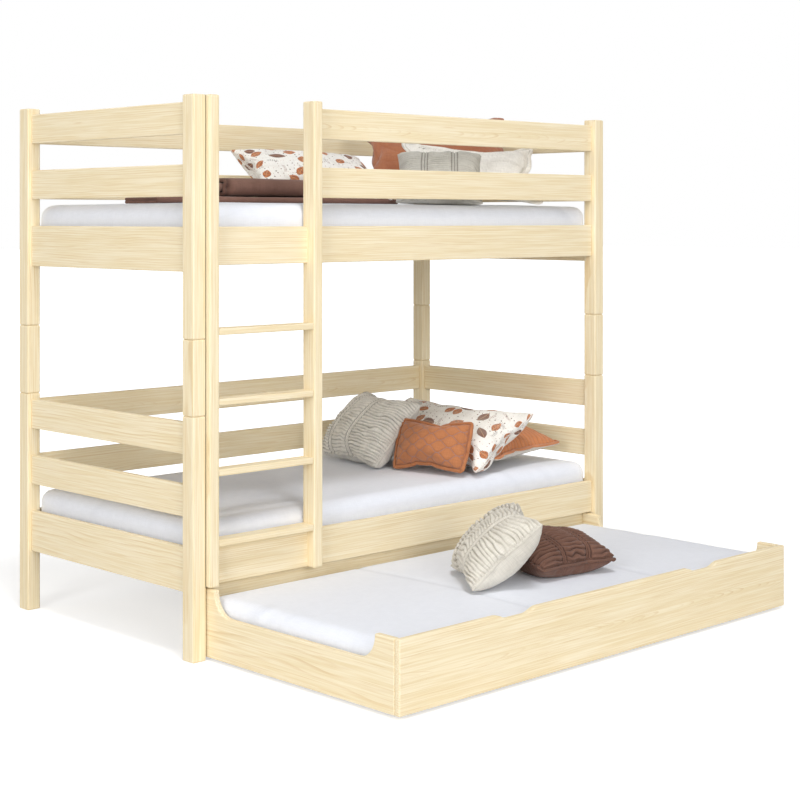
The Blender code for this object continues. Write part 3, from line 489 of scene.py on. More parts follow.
@dataclass(frozen=True)
class TyrePlasticFinish:
    """Moulded black plastic, greyed by dust where it rolls."""

    colour: Colour = srgb(40, 40, 42)
    dust: Colour = srgb(96, 92, 88)

    def material(self) -> bpy.types.Material:
        """Makes the castor wheels' material."""
        material, bench, shader = new_material("castor_plastic")
        place = bench.node("ShaderNodeTexCoord").outputs["Object"]
        dust = bench.stretch(bench.noise(place, 260.0, 4.0), 0.48, 0.74, (0.0, 0.55))
        bench.feed(shader.inputs["Base Color"], bench.mix(dust, self.colour, self.dust))
        bench.feed(shader.inputs["Roughness"], bench.stretch(dust, 0.0, 0.55, (0.42, 0.8)))
        stipple = bench.noise(place, 2600.0, 1.0)
        bench.feed(shader.inputs["Normal"], bench.bump(stipple, 0.3, 0.0001))
        return material


class Pattern(Enum):
    """What a cloth shows besides its weave."""

    PLAIN = "plain"
    PRINTED = "printed"
    SCALLOP_STITCH = "scallop stitch"
    TWO_FACED = "two faced"


@dataclass(frozen=True)
class ClothFinish:
    """A woven cloth, on the piece's own UV map in metres; a fold's valleys are painted a little darker, as
    painted shade.
    """

    name: str
    colour: Colour
    painted_shade: Colour
    threads: float = 520.0
    weave_depth: float = 0.00035
    slub: float = 0.10
    sheen: float = 0.25
    crumple: float = 0.12
    pattern: Pattern = Pattern.PLAIN
    other_face: Colour = srgb(226, 220, 208)

    def material(self) -> bpy.types.Material:
        """Makes the cloth's material."""
        material, bench, shader = new_material(self.name)
        cloth = bench.node("ShaderNodeUVMap", uv_map="cloth").outputs[0]
        weave = EFFECTS.place(bench, "plain_weave", {"Vector": cloth, "Threads": self.threads})
        crumpled = EFFECTS.place(bench, "crumple", {"Vector": cloth, "Scale": 26.0})
        depth = bench.node("ShaderNodeAttribute", attribute_name="painted_shade").outputs["Fac"]
        colour: Feed = self.colour
        if self.pattern is Pattern.PRINTED:
            inputs = {"Vector": cloth, "Ground": self.colour}
            colour = EFFECTS.place(bench, "scattered_seeds", inputs)["Color"]
        elif self.pattern is Pattern.SCALLOP_STITCH:
            colour = self.stitched(bench, cloth)
        elif self.pattern is Pattern.TWO_FACED:
            u = bench.parts(cloth)[0]
            colour = bench.mix(bench.math("GREATER_THAN", u, BACK_OFFSET / 2), colour, self.other_face)
        slubs = bench.stretch(weave["Slub"], 0.75, 1.25, (1.0 - self.slub, 1.0 + self.slub / 2))
        colour = bench.mix(1.0, colour, slubs, "MULTIPLY")
        # Broad random patches of the crumple noise take some of the painted shade colour.
        dark_patches = bench.math("MULTIPLY", crumpled["Dark Patches"], self.crumple)
        colour = bench.mix(dark_patches, colour, self.painted_shade)
        # Painted shade: the valleys of folds and grooves take the painted shade colour by the share kept on
        # their vertices.
        colour = bench.mix(depth, colour, self.painted_shade)
        bench.feed(shader.inputs["Base Color"], colour)
        rough = bench.stretch(weave["Height"], 0.0, 1.0, (0.95, 0.82))
        bench.feed(shader.inputs["Roughness"], rough)
        relief = bench.math("MULTIPLY_ADD", crumpled["Height"], 0.35, weave["Height"])
        normal = bench.bump(relief, 0.6, self.weave_depth)
        bench.feed(shader.inputs["Normal"], normal)
        shader.inputs["Sheen Weight"].default_value = self.sheen
        shader.inputs["Sheen Roughness"].default_value = 0.5
        shader.inputs["Specular IOR Level"].default_value = 0.2
        return material

    def stitched(self, bench: Bench, cloth: Socket) -> Socket:
        """Draws the thread of the quilting: two sets of waves that meet in scallops."""
        u, v, _ = bench.parts(cloth)
        wave = bench.math("SINE", bench.math("MULTIPLY", u, math.tau / QUILT_WAVE))
        threads = []
        for sign in (1, -1):
            row = bench.math("ADD", v, sign * QUILT_PITCH / 4)
            line = bench.math("MULTIPLY_ADD", wave, sign * QUILT_PITCH / 4, row)
            threads.append(bench.math("PINGPONG", line, QUILT_PITCH / 2))
        least = bench.math("MINIMUM", threads[0], threads[1])
        dash = bench.math("SINE", bench.math("MULTIPLY", u, math.tau / 0.0042))
        thread = bench.stretch(least, 0.0006, 0.0018, (1.0, 0.0))
        thread = bench.math("MULTIPLY", thread, bench.stretch(dash, -0.9, -0.3, (0.35, 1.0)))
        face = bench.node("ShaderNodeAttribute", attribute_name="flange").outputs["Fac"]
        thread = bench.math("MULTIPLY", thread, bench.math("LESS_THAN", face, 0.5))
        return bench.mix(bench.math("MULTIPLY", thread, 0.75), self.colour, srgb(150, 142, 152))


BACK_OFFSET = 2.0
QUILT_WAVE = 0.066
QUILT_PITCH = 0.044

GREY_COTTON = ClothFinish("grey_cotton", srgb(238, 234, 225), srgb(104, 97, 86))
LIGHT_GREY_COTTON = ClothFinish("light_grey_cotton", srgb(208, 205, 196), srgb(112, 106, 97))
CREAM_COTTON = ClothFinish("cream_cotton", srgb(227, 222, 211), srgb(150, 140, 124))
BROWN_COTTON = ClothFinish("brown_cotton", srgb(124, 90, 76), srgb(38, 22, 18), sheen=0.15)
THROW_WOOL = ClothFinish(
    "brown_throw", srgb(133, 99, 86), srgb(66, 44, 37), threads=380.0, sheen=0.15
)
QUILTED_COTTON = ClothFinish(
    "quilted_terracotta",
    srgb(190, 124, 82),
    srgb(140, 84, 54),
    pattern=Pattern.SCALLOP_STITCH,
)
RIBBED_COTTON = ClothFinish(
    "ribbed_terracotta", srgb(208, 136, 90), srgb(156, 92, 60), pattern=Pattern.TWO_FACED
)
CRUSHED_VELVET = ClothFinish(
    "crushed_terracotta", srgb(176, 112, 76), srgb(148, 84, 58), sheen=0.4, crumple=0.4
)
PRINTED_COTTON = ClothFinish(
    "printed_cotton",
    srgb(252, 249, 243),
    srgb(196, 188, 174),
    pattern=Pattern.PRINTED,
    crumple=0.05,
    sheen=0.08,
)
NATURAL_LINEN = ClothFinish(
    "natural_linen", srgb(250, 246, 238), srgb(180, 170, 152), threads=430.0, slub=0.14
)
MATTRESS_COTTON = ClothFinish(
    "mattress_cover",
    srgb(240, 243, 251),
    srgb(208, 212, 222),
    threads=600.0,
    slub=0.03,
    sheen=0.1,
    crumple=0.06,
)


def lattice_noise(points: np.ndarray, seed: int) -> np.ndarray:
    """Smooth noise on a lattice of unit steps.

    Args:
        points: The places, one row of three each.
        seed: Which noise it is.

    Returns:
        A number from -1 to 1 for each place.
    """
    cell = np.floor(points).astype(np.int64)
    part = points - cell
    ease = part * part * (3 - 2 * part)
    total = np.zeros(len(points))
    for corner in product((0, 1), repeat=3):
        key = cell + np.array(corner)
        mixed = key[:, 0] * 73856093 ^ key[:, 1] * 19349663 ^ key[:, 2] * 83492791
        mixed = (mixed ^ (seed * 2654435761)) & 0xFFFFFFFF
        mixed = ((mixed ^ (mixed >> 15)) * 2246822519) & 0xFFFFFFFF
        mixed = ((mixed ^ (mixed >> 13)) * 3266489917) & 0xFFFFFFFF
        value = ((mixed ^ (mixed >> 16)) & 0xFFFF) / 32767.5 - 1
        weight = np.prod(np.where(corner, ease, 1 - ease), axis=1)
        total += weight * value
    return total


def flat_noise(u: np.ndarray, v: np.ndarray, seed: int) -> np.ndarray:
    """Smooth noise over two measures."""
    return lattice_noise(np.column_stack((u, v, np.full(len(u), 0.5))), seed)


def vertex_places(mesh: bpy.types.Mesh) -> np.ndarray:
    """Reads a mesh's vertices, one row of three each."""
    places = np.empty(len(mesh.vertices) * 3)
    mesh.vertices.foreach_get("co", places)
    return places.reshape(-1, 3)


def vertex_normals(mesh: bpy.types.Mesh) -> np.ndarray:
    """Reads a mesh's vertex normals, one row of three each."""
    normals = np.empty(len(mesh.vertices) * 3, np.float32)
    mesh.vertex_normals.foreach_get("vector", normals)
    return normals.reshape(-1, 3).astype(float)


def set_places(mesh: bpy.types.Mesh, places: np.ndarray) -> None:
    """Writes a mesh's vertices."""
    mesh.vertices.foreach_set("co", places.astype(np.float32).ravel())
    mesh.update()


def cloth_measure(mesh: bpy.types.Mesh) -> np.ndarray:
    """Reads each vertex's place on the flat cloth from its UV map, one row of two each."""
    uv = np.empty(len(mesh.loops) * 2, np.float32)
    mesh.uv_layers["cloth"].data.foreach_get("uv", uv)
    loops = np.empty(len(mesh.loops), np.int32)
    mesh.loops.foreach_get("vertex_index", loops)
    measure = np.zeros((len(mesh.vertices), 2))
    measure[loops] = uv.reshape(-1, 2)
    return measure


def write_painted_shade(mesh: bpy.types.Mesh, depth: np.ndarray) -> None:
    """Keeps how deep in a fold each vertex lies, from 0 to 1, as the share of painted shade that the cloth's
    material gives it.
    """
    attribute = mesh.attributes.get("painted_shade") or mesh.attributes.new("painted_shade", "FLOAT", "POINT")
    attribute.data.foreach_set("value", np.clip(depth, 0, 1).astype(np.float32))


def add_piece(name: str, bm: bmesh.types.BMesh) -> bpy.types.Object:
    """Turns a bmesh into a smooth-shaded object at the origin."""
    mesh = bpy.data.meshes.new(name)
    bm.to_mesh(mesh)
    bm.free()
    mesh.shade_smooth()
    obj = bpy.data.objects.new(name, mesh)
    bpy.context.scene.collection.objects.link(obj)
    return obj


def only(obj: bpy.types.Object) -> None:
    """Selects one object alone and makes it active."""
    bpy.ops.object.select_all(action="DESELECT")
    obj.select_set(True)
    bpy.context.view_layer.objects.active = obj


def smooth_finer(obj: bpy.types.Object, levels: int) -> None:
    """Subdivides an object smoothly and applies it."""
    only(obj)
    modifier = obj.modifiers.new("finer", "SUBSURF")
    modifier.levels = levels
    modifier.render_levels = levels
    bpy.ops.object.modifier_apply(modifier=modifier.name)


def ridges(phase: np.ndarray, sharpness: float = 0.6) -> np.ndarray:
    """Round-backed folds with narrow valleys at whole numbers of the phase, from 0 to 1."""
    return np.abs(np.sin(math.pi * phase)) ** sharpness


@dataclass
class Mattress:
    """A foam mattress in a fitted cotton cover, with rounded edges and a crowned top."""

    name: str
    node: str
    body: str
    seams: tuple = ()
    side_radius: float = 0.030
    top_radius: float = 0.045
    bottom_radius: float = 0.015
    crown: float = 0.008
    cell: float = 0.014
    arc_steps: int = 7
    seed: int = 1

    def __post_init__(self) -> None:
        """Reads the box that the mattress's solid holds."""
        self.low, self.high = (Vector(corner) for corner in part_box(self.node))

    def rise(self, inset: np.ndarray) -> np.ndarray:
        """The top's level at a distance in from the nearest side."""
        flat = self.high.z - self.crown
        radius = self.top_radius
        round_off = np.sqrt(np.maximum(radius**2 - (radius - np.minimum(inset, radius)) ** 2, 0))
        half = (self.high.y - self.low.y) / 2 - radius
        share = np.clip((inset - radius) / half, 0, 1)
        return flat - radius + round_off + self.crown * np.sin(share * math.pi / 2)

    def top_at(self, x: np.ndarray, y: np.ndarray) -> np.ndarray:
        """The top's level at places in plan."""
        inset = np.minimum.reduce((x - self.low.x, self.high.x - x, y - self.low.y, self.high.y - y))
        return self.rise(np.maximum(inset, 0))

    def lines(self, low: float, high: float) -> np.ndarray:
        """Grid lines across one way: close together over the rounded edge, even between."""
        turns = [math.pi / 2 * step / self.arc_steps for step in range(self.arc_steps)]
        edge = [self.top_radius * (1 - math.cos(turn)) for turn in turns]
        count = max(2, round((high - low - 2 * self.top_radius) / self.cell))
        inner = np.linspace(low + self.top_radius, high - self.top_radius, count + 1)
        return np.concatenate(([low + x for x in edge], inner, [high - x for x in reversed(edge)]))

    def build(self) -> bpy.types.Object:
        """Makes the mattress: a domed top grid, walls down from its rim, and a flat underside."""
        xs, ys = (self.lines(self.low[axis], self.high[axis]) for axis in (0, 1))
        grid_x, grid_y = (axis.ravel() for axis in np.meshgrid(xs, ys, indexing="ij"))
        inset = np.minimum.reduce(
            (grid_x - xs[0], xs[-1] - grid_x, grid_y - ys[0], ys[-1] - grid_y)
        )
        level = self.rise(inset)
        level = level - self.seam_dip(grid_x)
        centre = (self.low + self.high) / 2
        half = (self.high - self.low) / 2
        out = []
        for values, middle, reach in ((grid_x, centre.x, half.x), (grid_y, centre.y, half.y)):
            out.append((values - middle, np.abs(values - middle) - (reach - self.side_radius)))
        (away_x, past_x), (away_y, past_y) = out
        corner = (past_x > 0) & (past_y > 0)
        longer = np.maximum(past_x, past_y)
        length = np.maximum(np.hypot(past_x, past_y), 1e-9)
        pull = np.where(corner, longer / length, 1.0)
        turned_x = np.sign(away_x) * (half.x - self.side_radius + past_x * pull)
        turned_y = np.sign(away_y) * (half.y - self.side_radius + past_y * pull)
        x = centre.x + np.where(corner, turned_x, away_x)
        y = centre.y + np.where(corner, turned_y, away_y)
        bm = bmesh.new()
        rows = len(ys)
        verts = [bm.verts.new(place) for place in zip(x, y, level)]
        layer = bm.loops.layers.uv.new("cloth")

        def face(corners: list, measure: list) -> None:
            made = bm.faces.new(corners)
            for loop, place in zip(made.loops, measure):
                loop[layer].uv = place

        for i in range(len(xs) - 1):
            for j in range(rows - 1):
                picks = [(i, j), (i + 1, j), (i + 1, j + 1), (i, j + 1)]
                face([verts[a * rows + b] for a, b in picks], [(xs[a], ys[b]) for a, b in picks])
        rim = [(i, 0) for i in range(len(xs) - 1)] + [(len(xs) - 1, j) for j in range(rows - 1)]
        rim += [(i, rows - 1) for i in range(len(xs) - 1, 0, -1)]
        rim += [(0, j) for j in range(rows - 1, 0, -1)]
        upper = [verts[i * rows + j] for i, j in rim]
        lengths = np.cumsum([0.0] + [
            (upper[k].co - upper[(k + 1) % len(upper)].co).length for k in range(len(upper))
        ])
        for drop, draw_in in self.wall():
            lower = []
            for above in [verts[i * rows + j] for i, j in rim]:
                away = Vector((above.co.x - centre.x, above.co.y - centre.y))
                reach = Vector(
                    (
                        math.copysign(max(abs(away.x) - draw_in, 0), away.x),
                        math.copysign(max(abs(away.y) - draw_in, 0), away.y),
                    )
                )
                lower.append(bm.verts.new((centre.x + reach.x, centre.y + reach.y, drop)))
            for k in range(len(upper)):
                after = (k + 1) % len(upper)
                ends = (lengths[k], lengths[k + 1])
                levels = (upper[k].co.z, drop)
                face(
                    [upper[after], upper[k], lower[k], lower[after]],
                    [(ends[1], levels[0]), (ends[0], levels[0]), (ends[0], levels[1]), (ends[1], levels[1])],
                )
            upper = lower
        bm.faces.new(list(upper))
        bmesh.ops.recalc_face_normals(bm, faces=bm.faces)
        self.obj = add_piece(self.name, bm)
        self.wrinkle()
        return self.obj

    def wall(self) -> list[tuple[float, float]]:
        """Levels down the side and how far each is drawn in, round the bottom edge too."""
        top = self.high.z - self.crown - self.top_radius
        foot = self.low.z + self.bottom_radius
        count = max(2, round((top - foot) / self.cell))
        levels = [(top + (foot - top) * (step + 1) / count, 0.0) for step in range(count)]
        for step in range(1, 4):
            turn = math.pi / 2 * step / 3
            levels.append(
                (
                    foot - self.bottom_radius * math.sin(turn),
                    self.bottom_radius * (1 - math.cos(turn)),
                )
            )
        return levels

    def seam_dip(self, x: np.ndarray) -> np.ndarray:
        """How far the top is drawn down by the sewn joins across it."""
        dip = np.zeros(len(x))
        for seam in self.seams:
            dip += 0.0035 * np.exp(-(((x - seam) / 0.012) ** 2))
        return dip

    def wrinkle(self) -> None:
        """Gives the cover its soft puckers: along the edges, and long faint ones over the top."""
        mesh = self.obj.data
        places, normals = vertex_places(mesh), vertex_normals(mesh)
        x, y, z = places.T
        inset = np.minimum.reduce((x - self.low.x, self.high.x - x, y - self.low.y, self.high.y - y))
        along = np.where(np.minimum(x - self.low.x, self.high.x - x) < 0.07, y, x)
        slant = flat_noise((along + z * 0.9) * 16, z * 5, self.seed)
        faint = flat_noise(x * 5, y * 7, self.seed + 5)
        edge = np.exp(-((inset / 0.06) ** 2))
        ends = np.exp(-((np.minimum(x - self.low.x, self.high.x - x) / 0.15) ** 2))
        lift = -0.0011 * edge * (0.5 + slant) * (0.4 + ends) + 0.0012 * faint
        foot = np.clip((z - self.low.z) / 0.03, 0, 1)
        set_places(mesh, places + normals * (lift * foot)[:, None])
        # Painted shade in the puckers' valleys near the edges and in the dips of the sewn seams.
        write_painted_shade(mesh, np.clip(-slant - 0.35, 0, 1) * edge * 0.7 + self.seam_dip(x) * 90)

    def dress(self, material: bpy.types.Material) -> None:
        """Gives the mattress its cover, hangs it on its body and hides the frame's mattress part."""
        self.obj.data.materials.append(material)
        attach(self.obj, self.body)
        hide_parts(self.node)


class Relief(Enum):
    """How a cushion's cover is worked."""

    RUCHED = "gathered across between raised seams"
    QUILTED = "stitched in scallops"
    RIBBED = "sewn in narrow ribs"
    CRUSHED = "crinkled"
    PLAIN = "plain"


class Flange(NamedTuple):
    """The border outside a cushion's seam: its width, its waves' depth and length, its sides."""

    width: float
    wave_depth: float
    wave_length: float
    sides: str = "lrbt"


@dataclass
class Cushion:
    """A stuffed cushion: a flat bag inflated as cloth, then worked, leaned and set down.

    The place is the middle of its bottom seam. Yaw turns its face from the ladder side towards the
    left end, lean tips it back and roll lifts its right end, all in degrees.
    """

    name: str
    node: str | None
    body: str
    cloth: ClothFinish
    relief: Relief
    size: tuple[float, float, float]
    place: tuple[float, float, float]
    yaw: float
    lean: float
    roll: float
    flange: Flange | None = None
    bands: tuple = ()
    pitch: float = 0.013
    depth: float = 0.0032
    cells: int = 44
    levels: int = 2
    sag: float = 0.0
    sag_at: float = 0.0
    pinch: float = 0.0
    frill: float = 1.0
    slump: float = 0.0
    let_out: float = 0.03
    corner: float = 0.03
    in_front: bool = False
    level_push: bool = False
    fill: float = 0.6
    seed: int = 1

    def flat_bag(self) -> bpy.types.Object:
        """Makes the bag as it is sewn: two sheets, a little larger than the cushion, joined round."""
        width, height, _ = self.size
        columns = self.cells
        rows = max(12, round(self.cells * height / width))
        bm = bmesh.new()
        layer = bm.loops.layers.uv.new("cloth")
        rims = []
        jitter = np.random.default_rng(self.seed).normal(0, 0.0006, (2, columns + 1, rows + 1))
        measure = {}
        for face_index, side in enumerate((1, -1)):
            grid = []
            for i in range(columns + 1):
                line = []
                for j in range(rows + 1):
                    x = (i / columns - 0.5) * width
                    y = j / rows * height
                    rim_i, rim_j = min(i, columns - i), min(j, rows - j)
                    loft = min(rim_i, 3) / 3 * min(rim_j, 3) / 3
                    z = side * (0.001 + (0.009 + jitter[face_index, i, j]) * loft)
                    vert = bm.verts.new((x, y, z))
                    measure[vert] = (x + (BACK_OFFSET if side < 0 else 0), y)
                    line.append(vert)
                grid.append(line)
            for i in range(columns):
                for j in range(rows):
                    quad = [grid[i][j], grid[i + 1][j], grid[i + 1][j + 1], grid[i][j + 1]]
                    bm.faces.new(quad if side > 0 else quad[::-1])
            ring = [grid[i][0] for i in range(columns)] + [grid[columns][j] for j in range(rows)]
            ring += [grid[i][rows] for i in range(columns, 0, -1)]
            ring += [grid[0][j] for j in range(rows, 0, -1)]
            rims.append(ring)
        for k in range(len(rims[0])):
            after = (k + 1) % len(rims[0])
            wall = bm.faces.new((rims[0][k], rims[1][k], rims[1][after], rims[0][after]))
            wall.material_index = 1
        for face in bm.faces:
            for loop in face.loops:
                loop[layer].uv = measure[loop.vert]
        return add_piece(self.name, bm)

    def inflate(self, obj: bpy.types.Object) -> None:
        """Fills the bag as cloth under pressure, then trims it to the cushion's size."""
        width, height, thickness = self.size
        mesh = obj.data
        only(obj)
        modifier = obj.modifiers.new("stuffing", "CLOTH")
        settings = modifier.settings
        settings.quality = 6
        settings.mass = 0.15
        settings.tension_stiffness = 20
        settings.compression_stiffness = 20
        settings.shear_stiffness = 8
        settings.bending_stiffness = 0.3
        settings.use_pressure = True
        settings.uniform_pressure_force = 4
        settings.effector_weights.gravity = 0
        frames = 9 + round(5 * self.fill)
        modifier.point_cache.frame_start = 1
        modifier.point_cache.frame_end = frames
        for step in range(1, frames + 1):
            bpy.context.scene.frame_set(step)
        bpy.ops.object.modifier_apply(modifier=modifier.name)
        bpy.context.scene.frame_set(1)
        only(obj)
        relax = obj.modifiers.new("relax", "SMOOTH")
        relax.factor = 0.5
        relax.iterations = 6
        bpy.ops.object.modifier_apply(modifier=relax.name)
        places = vertex_places(mesh)
        low, high = places.min(0), places.max(0)
        places = (places - (low + high) / 2) * 2 / (high - low)
        u, v = places[:, 0].copy(), places[:, 1].copy()
        rounded = 1 - self.corner * (u * v) ** 4
        places[:, 0] *= (1 + self.let_out * (1 - v**2) * np.abs(u)) * rounded
        places[:, 1] *= (1 + self.let_out * (1 - u**2) * np.abs(v)) * rounded
        places *= np.array(self.size) / 2
        places[:, 1] += height / 2
        set_places(mesh, places)

    def work_cover(self, mesh: bpy.types.Mesh) -> None:
        """Raises the folds, ribs, stitching and seams of the cover from its smooth form, and keeps the share
        of painted shade in their valleys.
        """
        places, normals = vertex_places(mesh), vertex_normals(mesh)
        measure = cloth_measure(mesh)
        back = measure[:, 0] > BACK_OFFSET / 2
        s = measure[:, 0] - np.where(back, BACK_OFFSET, 0)
        t = measure[:, 1]
        width, height, _ = self.size
        edge = np.minimum.reduce((s + width / 2, width / 2 - s, t, height - t))
        lift, painted_shade = self.cover_relief(s, t, back, edge)
        soft = 0.0016 * flat_noise(s * 22 + 9 * back, t * 22, self.seed + 3)
        soft += 0.0008 * flat_noise(s * 55 + 9 * back, t * 55, self.seed + 4)
        settle = np.clip(edge / 0.006, 0, 1)
        set_places(mesh, places + normals * ((lift + soft) * settle)[:, None])
        write_painted_shade(mesh, painted_shade)

    def cover_relief(
        self, s: np.ndarray, t: np.ndarray, back: np.ndarray, edge: np.ndarray
    ) -> tuple[np.ndarray, np.ndarray]:
        """The height of the worked cover over its smooth form.

        Args:
            s, t: Each vertex's place across and up the flat cloth.
            back: Which vertices are on the cushion's back.
            edge: How far in from the seam each lies.

        Returns:
            The height of each vertex, and how deep in a valley or groove it lies, which is its share of
            painted shade.
        """
        width, height, _ = self.size
        seed = self.seed
        if self.relief is Relief.RUCHED:
            return self.ruching(s, t, back, edge)
        if self.relief is Relief.QUILTED:
            wave = QUILT_PITCH / 4 * np.sin(math.tau * s / QUILT_WAVE)
            away = []
            for sign in (1, -1):
                line = (t + sign * (wave + QUILT_PITCH / 4)) % QUILT_PITCH
                away.append(np.minimum(line, QUILT_PITCH - line))
            least = np.minimum(*away)
            puff = 1 - np.exp(-((least / 0.005) ** 2))
            lift = 0.0026 * (puff - 0.5)
            lift += 0.002 * ridges(t * 60 + flat_noise(s * 20, t * 9, seed) * 2) * np.exp(-edge / 0.012)
            # Painted shade along the stitched lines, where the cloth is drawn down.
            return lift, 0.25 * (1 - puff)
        if self.relief is Relief.RIBBED:
            wander = 0.10 * flat_noise(s * 12, t * 7, seed)
            phase = s / self.pitch + wander
            rib = ridges(phase, 0.7)
            flat = np.where(back, 0.15, 1.0)
            # Painted shade between the ribs, faint on the back.
            return self.depth * (rib - 0.6) * flat, 0.55 * (1 - rib) ** 2 * flat
        if self.relief is Relief.CRUSHED:
            bend = 0.4 * flat_noise(s * 9, t * 9, seed)
            first = np.abs(flat_noise(s * 17 + bend * 3, t * 17 - bend * 3, seed + 1))
            second = np.abs(flat_noise(s * 38 + bend * 5, t * 38, seed + 2))
            crease = np.exp(-first / 0.12) + 0.5 * np.exp(-second / 0.14)
            # Painted shade in the creases.
            return -0.0016 * crease, 0.35 * np.clip(crease, 0, 1)
        wander = flat_noise(s * 14, t * 14, seed)
        turn = np.arctan2(t - height / 2, s)
        rays = ridges(turn * 9 + wander * 2) * np.exp(-edge / 0.022)
        crease = np.exp(-np.abs(flat_noise(s * 9, t * 11, seed + 1)) / 0.08)
        # Painted shade in the creases, less near the seam.
        return 0.0026 * (rays - 0.5) - 0.0016 * crease, 0.22 * crease * np.clip(edge / 0.03, 0, 1)

    def ruching(
        self, s: np.ndarray, t: np.ndarray, back: np.ndarray, edge: np.ndarray
    ) -> tuple[np.ndarray, np.ndarray]:
        """Folds drawn together along raised double seams, smooth again on the cushion's back."""
        width = self.size[0]
        seams = [width * band for band in self.bands]
        band = np.zeros(len(s))
        near = np.full(len(s), 1.0)
        for seam in seams:
            band += s > seam
            near = np.minimum(near, np.abs(s - seam))
        gather = np.minimum(near, np.abs(edge))
        wander = flat_noise(s * 13 + band * 7, t * 9, self.seed)
        fine = flat_noise(s * 40 + band * 5, t * 70, self.seed + 1)
        phase = t / self.pitch + band * 0.37 + wander * 1.7 + fine * 0.45
        broad = ridges(phase, 0.5)
        small = ridges(phase * 2 + 0.5 + wander, 0.6)
        merge = np.clip(flat_noise(s * 26 + band * 3, t * 40, self.seed + 5) * 1.6 + 0.4, 0, 1)
        tight = np.exp(-gather / 0.012) + 0.35 * merge
        tight = np.clip(tight, 0, 1)
        fold = broad * (1 - 0.5 * tight) + small * 0.5 * tight
        varied = 0.7 + 0.55 * (flat_noise(s * 16 + band * 3, t * 34, self.seed + 2) + 0.35)
        varied *= np.where(band == 0, self.frill, 1.0)
        flat = np.where(back, 0.10, 1.0)
        lift = self.depth * 2 * (fold - 0.55) * varied * flat
        # Painted shade in the folds' valleys, faint on the back.
        painted_shade = 0.95 * (1 - fold) ** 1.5 * varied * flat
        for seam in seams:
            away = np.abs(s - seam + 0.002 * flat_noise(t * 25, t * 0, self.seed + 6))
            welt = np.exp(-(((away - 0.0046) / 0.0026) ** 2))
            sunk = np.exp(-((away / 0.013) ** 2))
            lift = lift * (1 - 0.85 * sunk * flat)
            lift += flat * (0.0052 * welt - 0.0050 * sunk)
            # Painted shade in narrow lines at each seam and beside its welt, in place of the fold shade
            # there.
            line = np.exp(-((away / 0.0016) ** 2)) + np.exp(-(((away - 0.0098) / 0.0022) ** 2))
            painted_shade = painted_shade * (1 - sunk) + 0.8 * line * flat
        return lift, painted_shade

    def add_flange(self, obj: bpy.types.Object) -> None:
        """Draws a border out of the seam, widest on the sides that have it, and waves it."""
        if self.flange is None:
            return
        steps = 4
        width, height, _ = self.size
        bm = bmesh.new()
        bm.from_mesh(obj.data)
        layer = bm.loops.layers.uv.active
        painted_shade = bm.verts.layers.float["painted_shade"]
        border = bm.verts.layers.float.new("flange")
        for step in range(1, steps + 1):
            walls = [face for face in bm.faces if face.material_index == 1]
            bm.normal_update()
            outward, round_it = {}, {}
            for wall in walls:
                for loop in wall.loops:
                    key = loop.vert.co.copy().freeze()
                    outward[key] = outward.get(key, Vector()) + wall.normal
                    u, v = loop[layer].uv
                    round_it[key] = self.rim_place(u - (BACK_OFFSET if u > BACK_OFFSET / 2 else 0), v)
            moved = bmesh.ops.extrude_face_region(bm, geom=walls)
            fresh = [item for item in moved["geom"] if isinstance(item, bmesh.types.BMVert)]
            bmesh.ops.delete(bm, geom=walls, context="FACES")
            keys = [vert.co.copy().freeze() for vert in fresh]
            rim = np.array([round_it[key] for key in keys])
            ways = np.array([tuple(outward[key]) for key in keys])
            ways[:, 2] *= 0.1
            ways /= np.linalg.norm(ways, axis=1)[:, None]
            wave = flat_noise(rim * 2 / self.flange.wave_length, rim * 0, self.seed + 9)
            finer = flat_noise(rim * 4.4 / self.flange.wave_length, rim * 0, self.seed + 10)
            side = np.where(np.abs(ways[:, 0]) > np.abs(ways[:, 1]), ways[:, 0] > 0, 2 + (ways[:, 1] > 0))
            letters = np.array(["l", "r", "b", "t"])[side.astype(int)]
            share = np.isin(letters, list(self.flange.sides)) * 0.88 + 0.12
            reach = self.flange.width / steps * share * (1 + 0.25 * wave)
            swing = self.flange.wave_depth * (wave + 0.4 * finer) * share
            for index, vert in enumerate(fresh):
                vert.co += Vector(ways[index]) * reach[index]
                vert.co.z += swing[index] * (2 * step - 1) / steps**2
                vert[border] = 1.0
                # Painted shade on the border: a little all over, more where its waves dip, and most on the
                # first ring beside the seam.
                vert[painted_shade] = 0.10 + 0.35 * max(0.0, -wave[index]) + (0.45 if step == 1 else 0.0)
        bm.to_mesh(obj.data)
        bm.free()

    def rim_place(self, s: float, t: float) -> float:
        """How far round the seam a point of it is, from the bottom left corner."""
        width, height, _ = self.size
        gaps = {t: s + width / 2, width / 2 - s: width + t, height - t: width * 1.5 + height - s}
        gaps[s + width / 2] = 2 * width + 2 * height - t
        return gaps[min(gaps)]

    def set_down(self, obj: bpy.types.Object, mattress: Mattress, neighbours: list) -> None:
        """Leans the cushion in its place, presses it on its mattress and against its neighbours."""
        mesh = obj.data
        width, height, _ = self.size
        places = vertex_places(mesh)
        x, y, z = places.T
        share = np.clip(y / height, 0, 1)
        z = z * (1 + self.slump * (0.5 - share))
        across = np.abs(2 * x / width - self.sag_at) / (1 + abs(self.sag_at))
        y = y - self.sag * np.clip(1 - across, 0, 1) ** 2 * share**2
        y = y + self.pinch * np.exp(-((x / 0.028) ** 2)) * (1 - share) ** 3
        places = np.column_stack((x, y, z))
        places = places @ np.array(self.turn()).T + np.array(self.place)
        places = self.press(places, neighbours)
        floor = mattress.top_at(places[:, 0], places[:, 1]) + 0.0006
        give = 0.006
        over = places[:, 2] - floor
        pressed = floor + give * np.exp(np.minimum(over - give, 0) / give)
        places[:, 2] = np.where(over < give, pressed, places[:, 2])
        set_places(mesh, places)

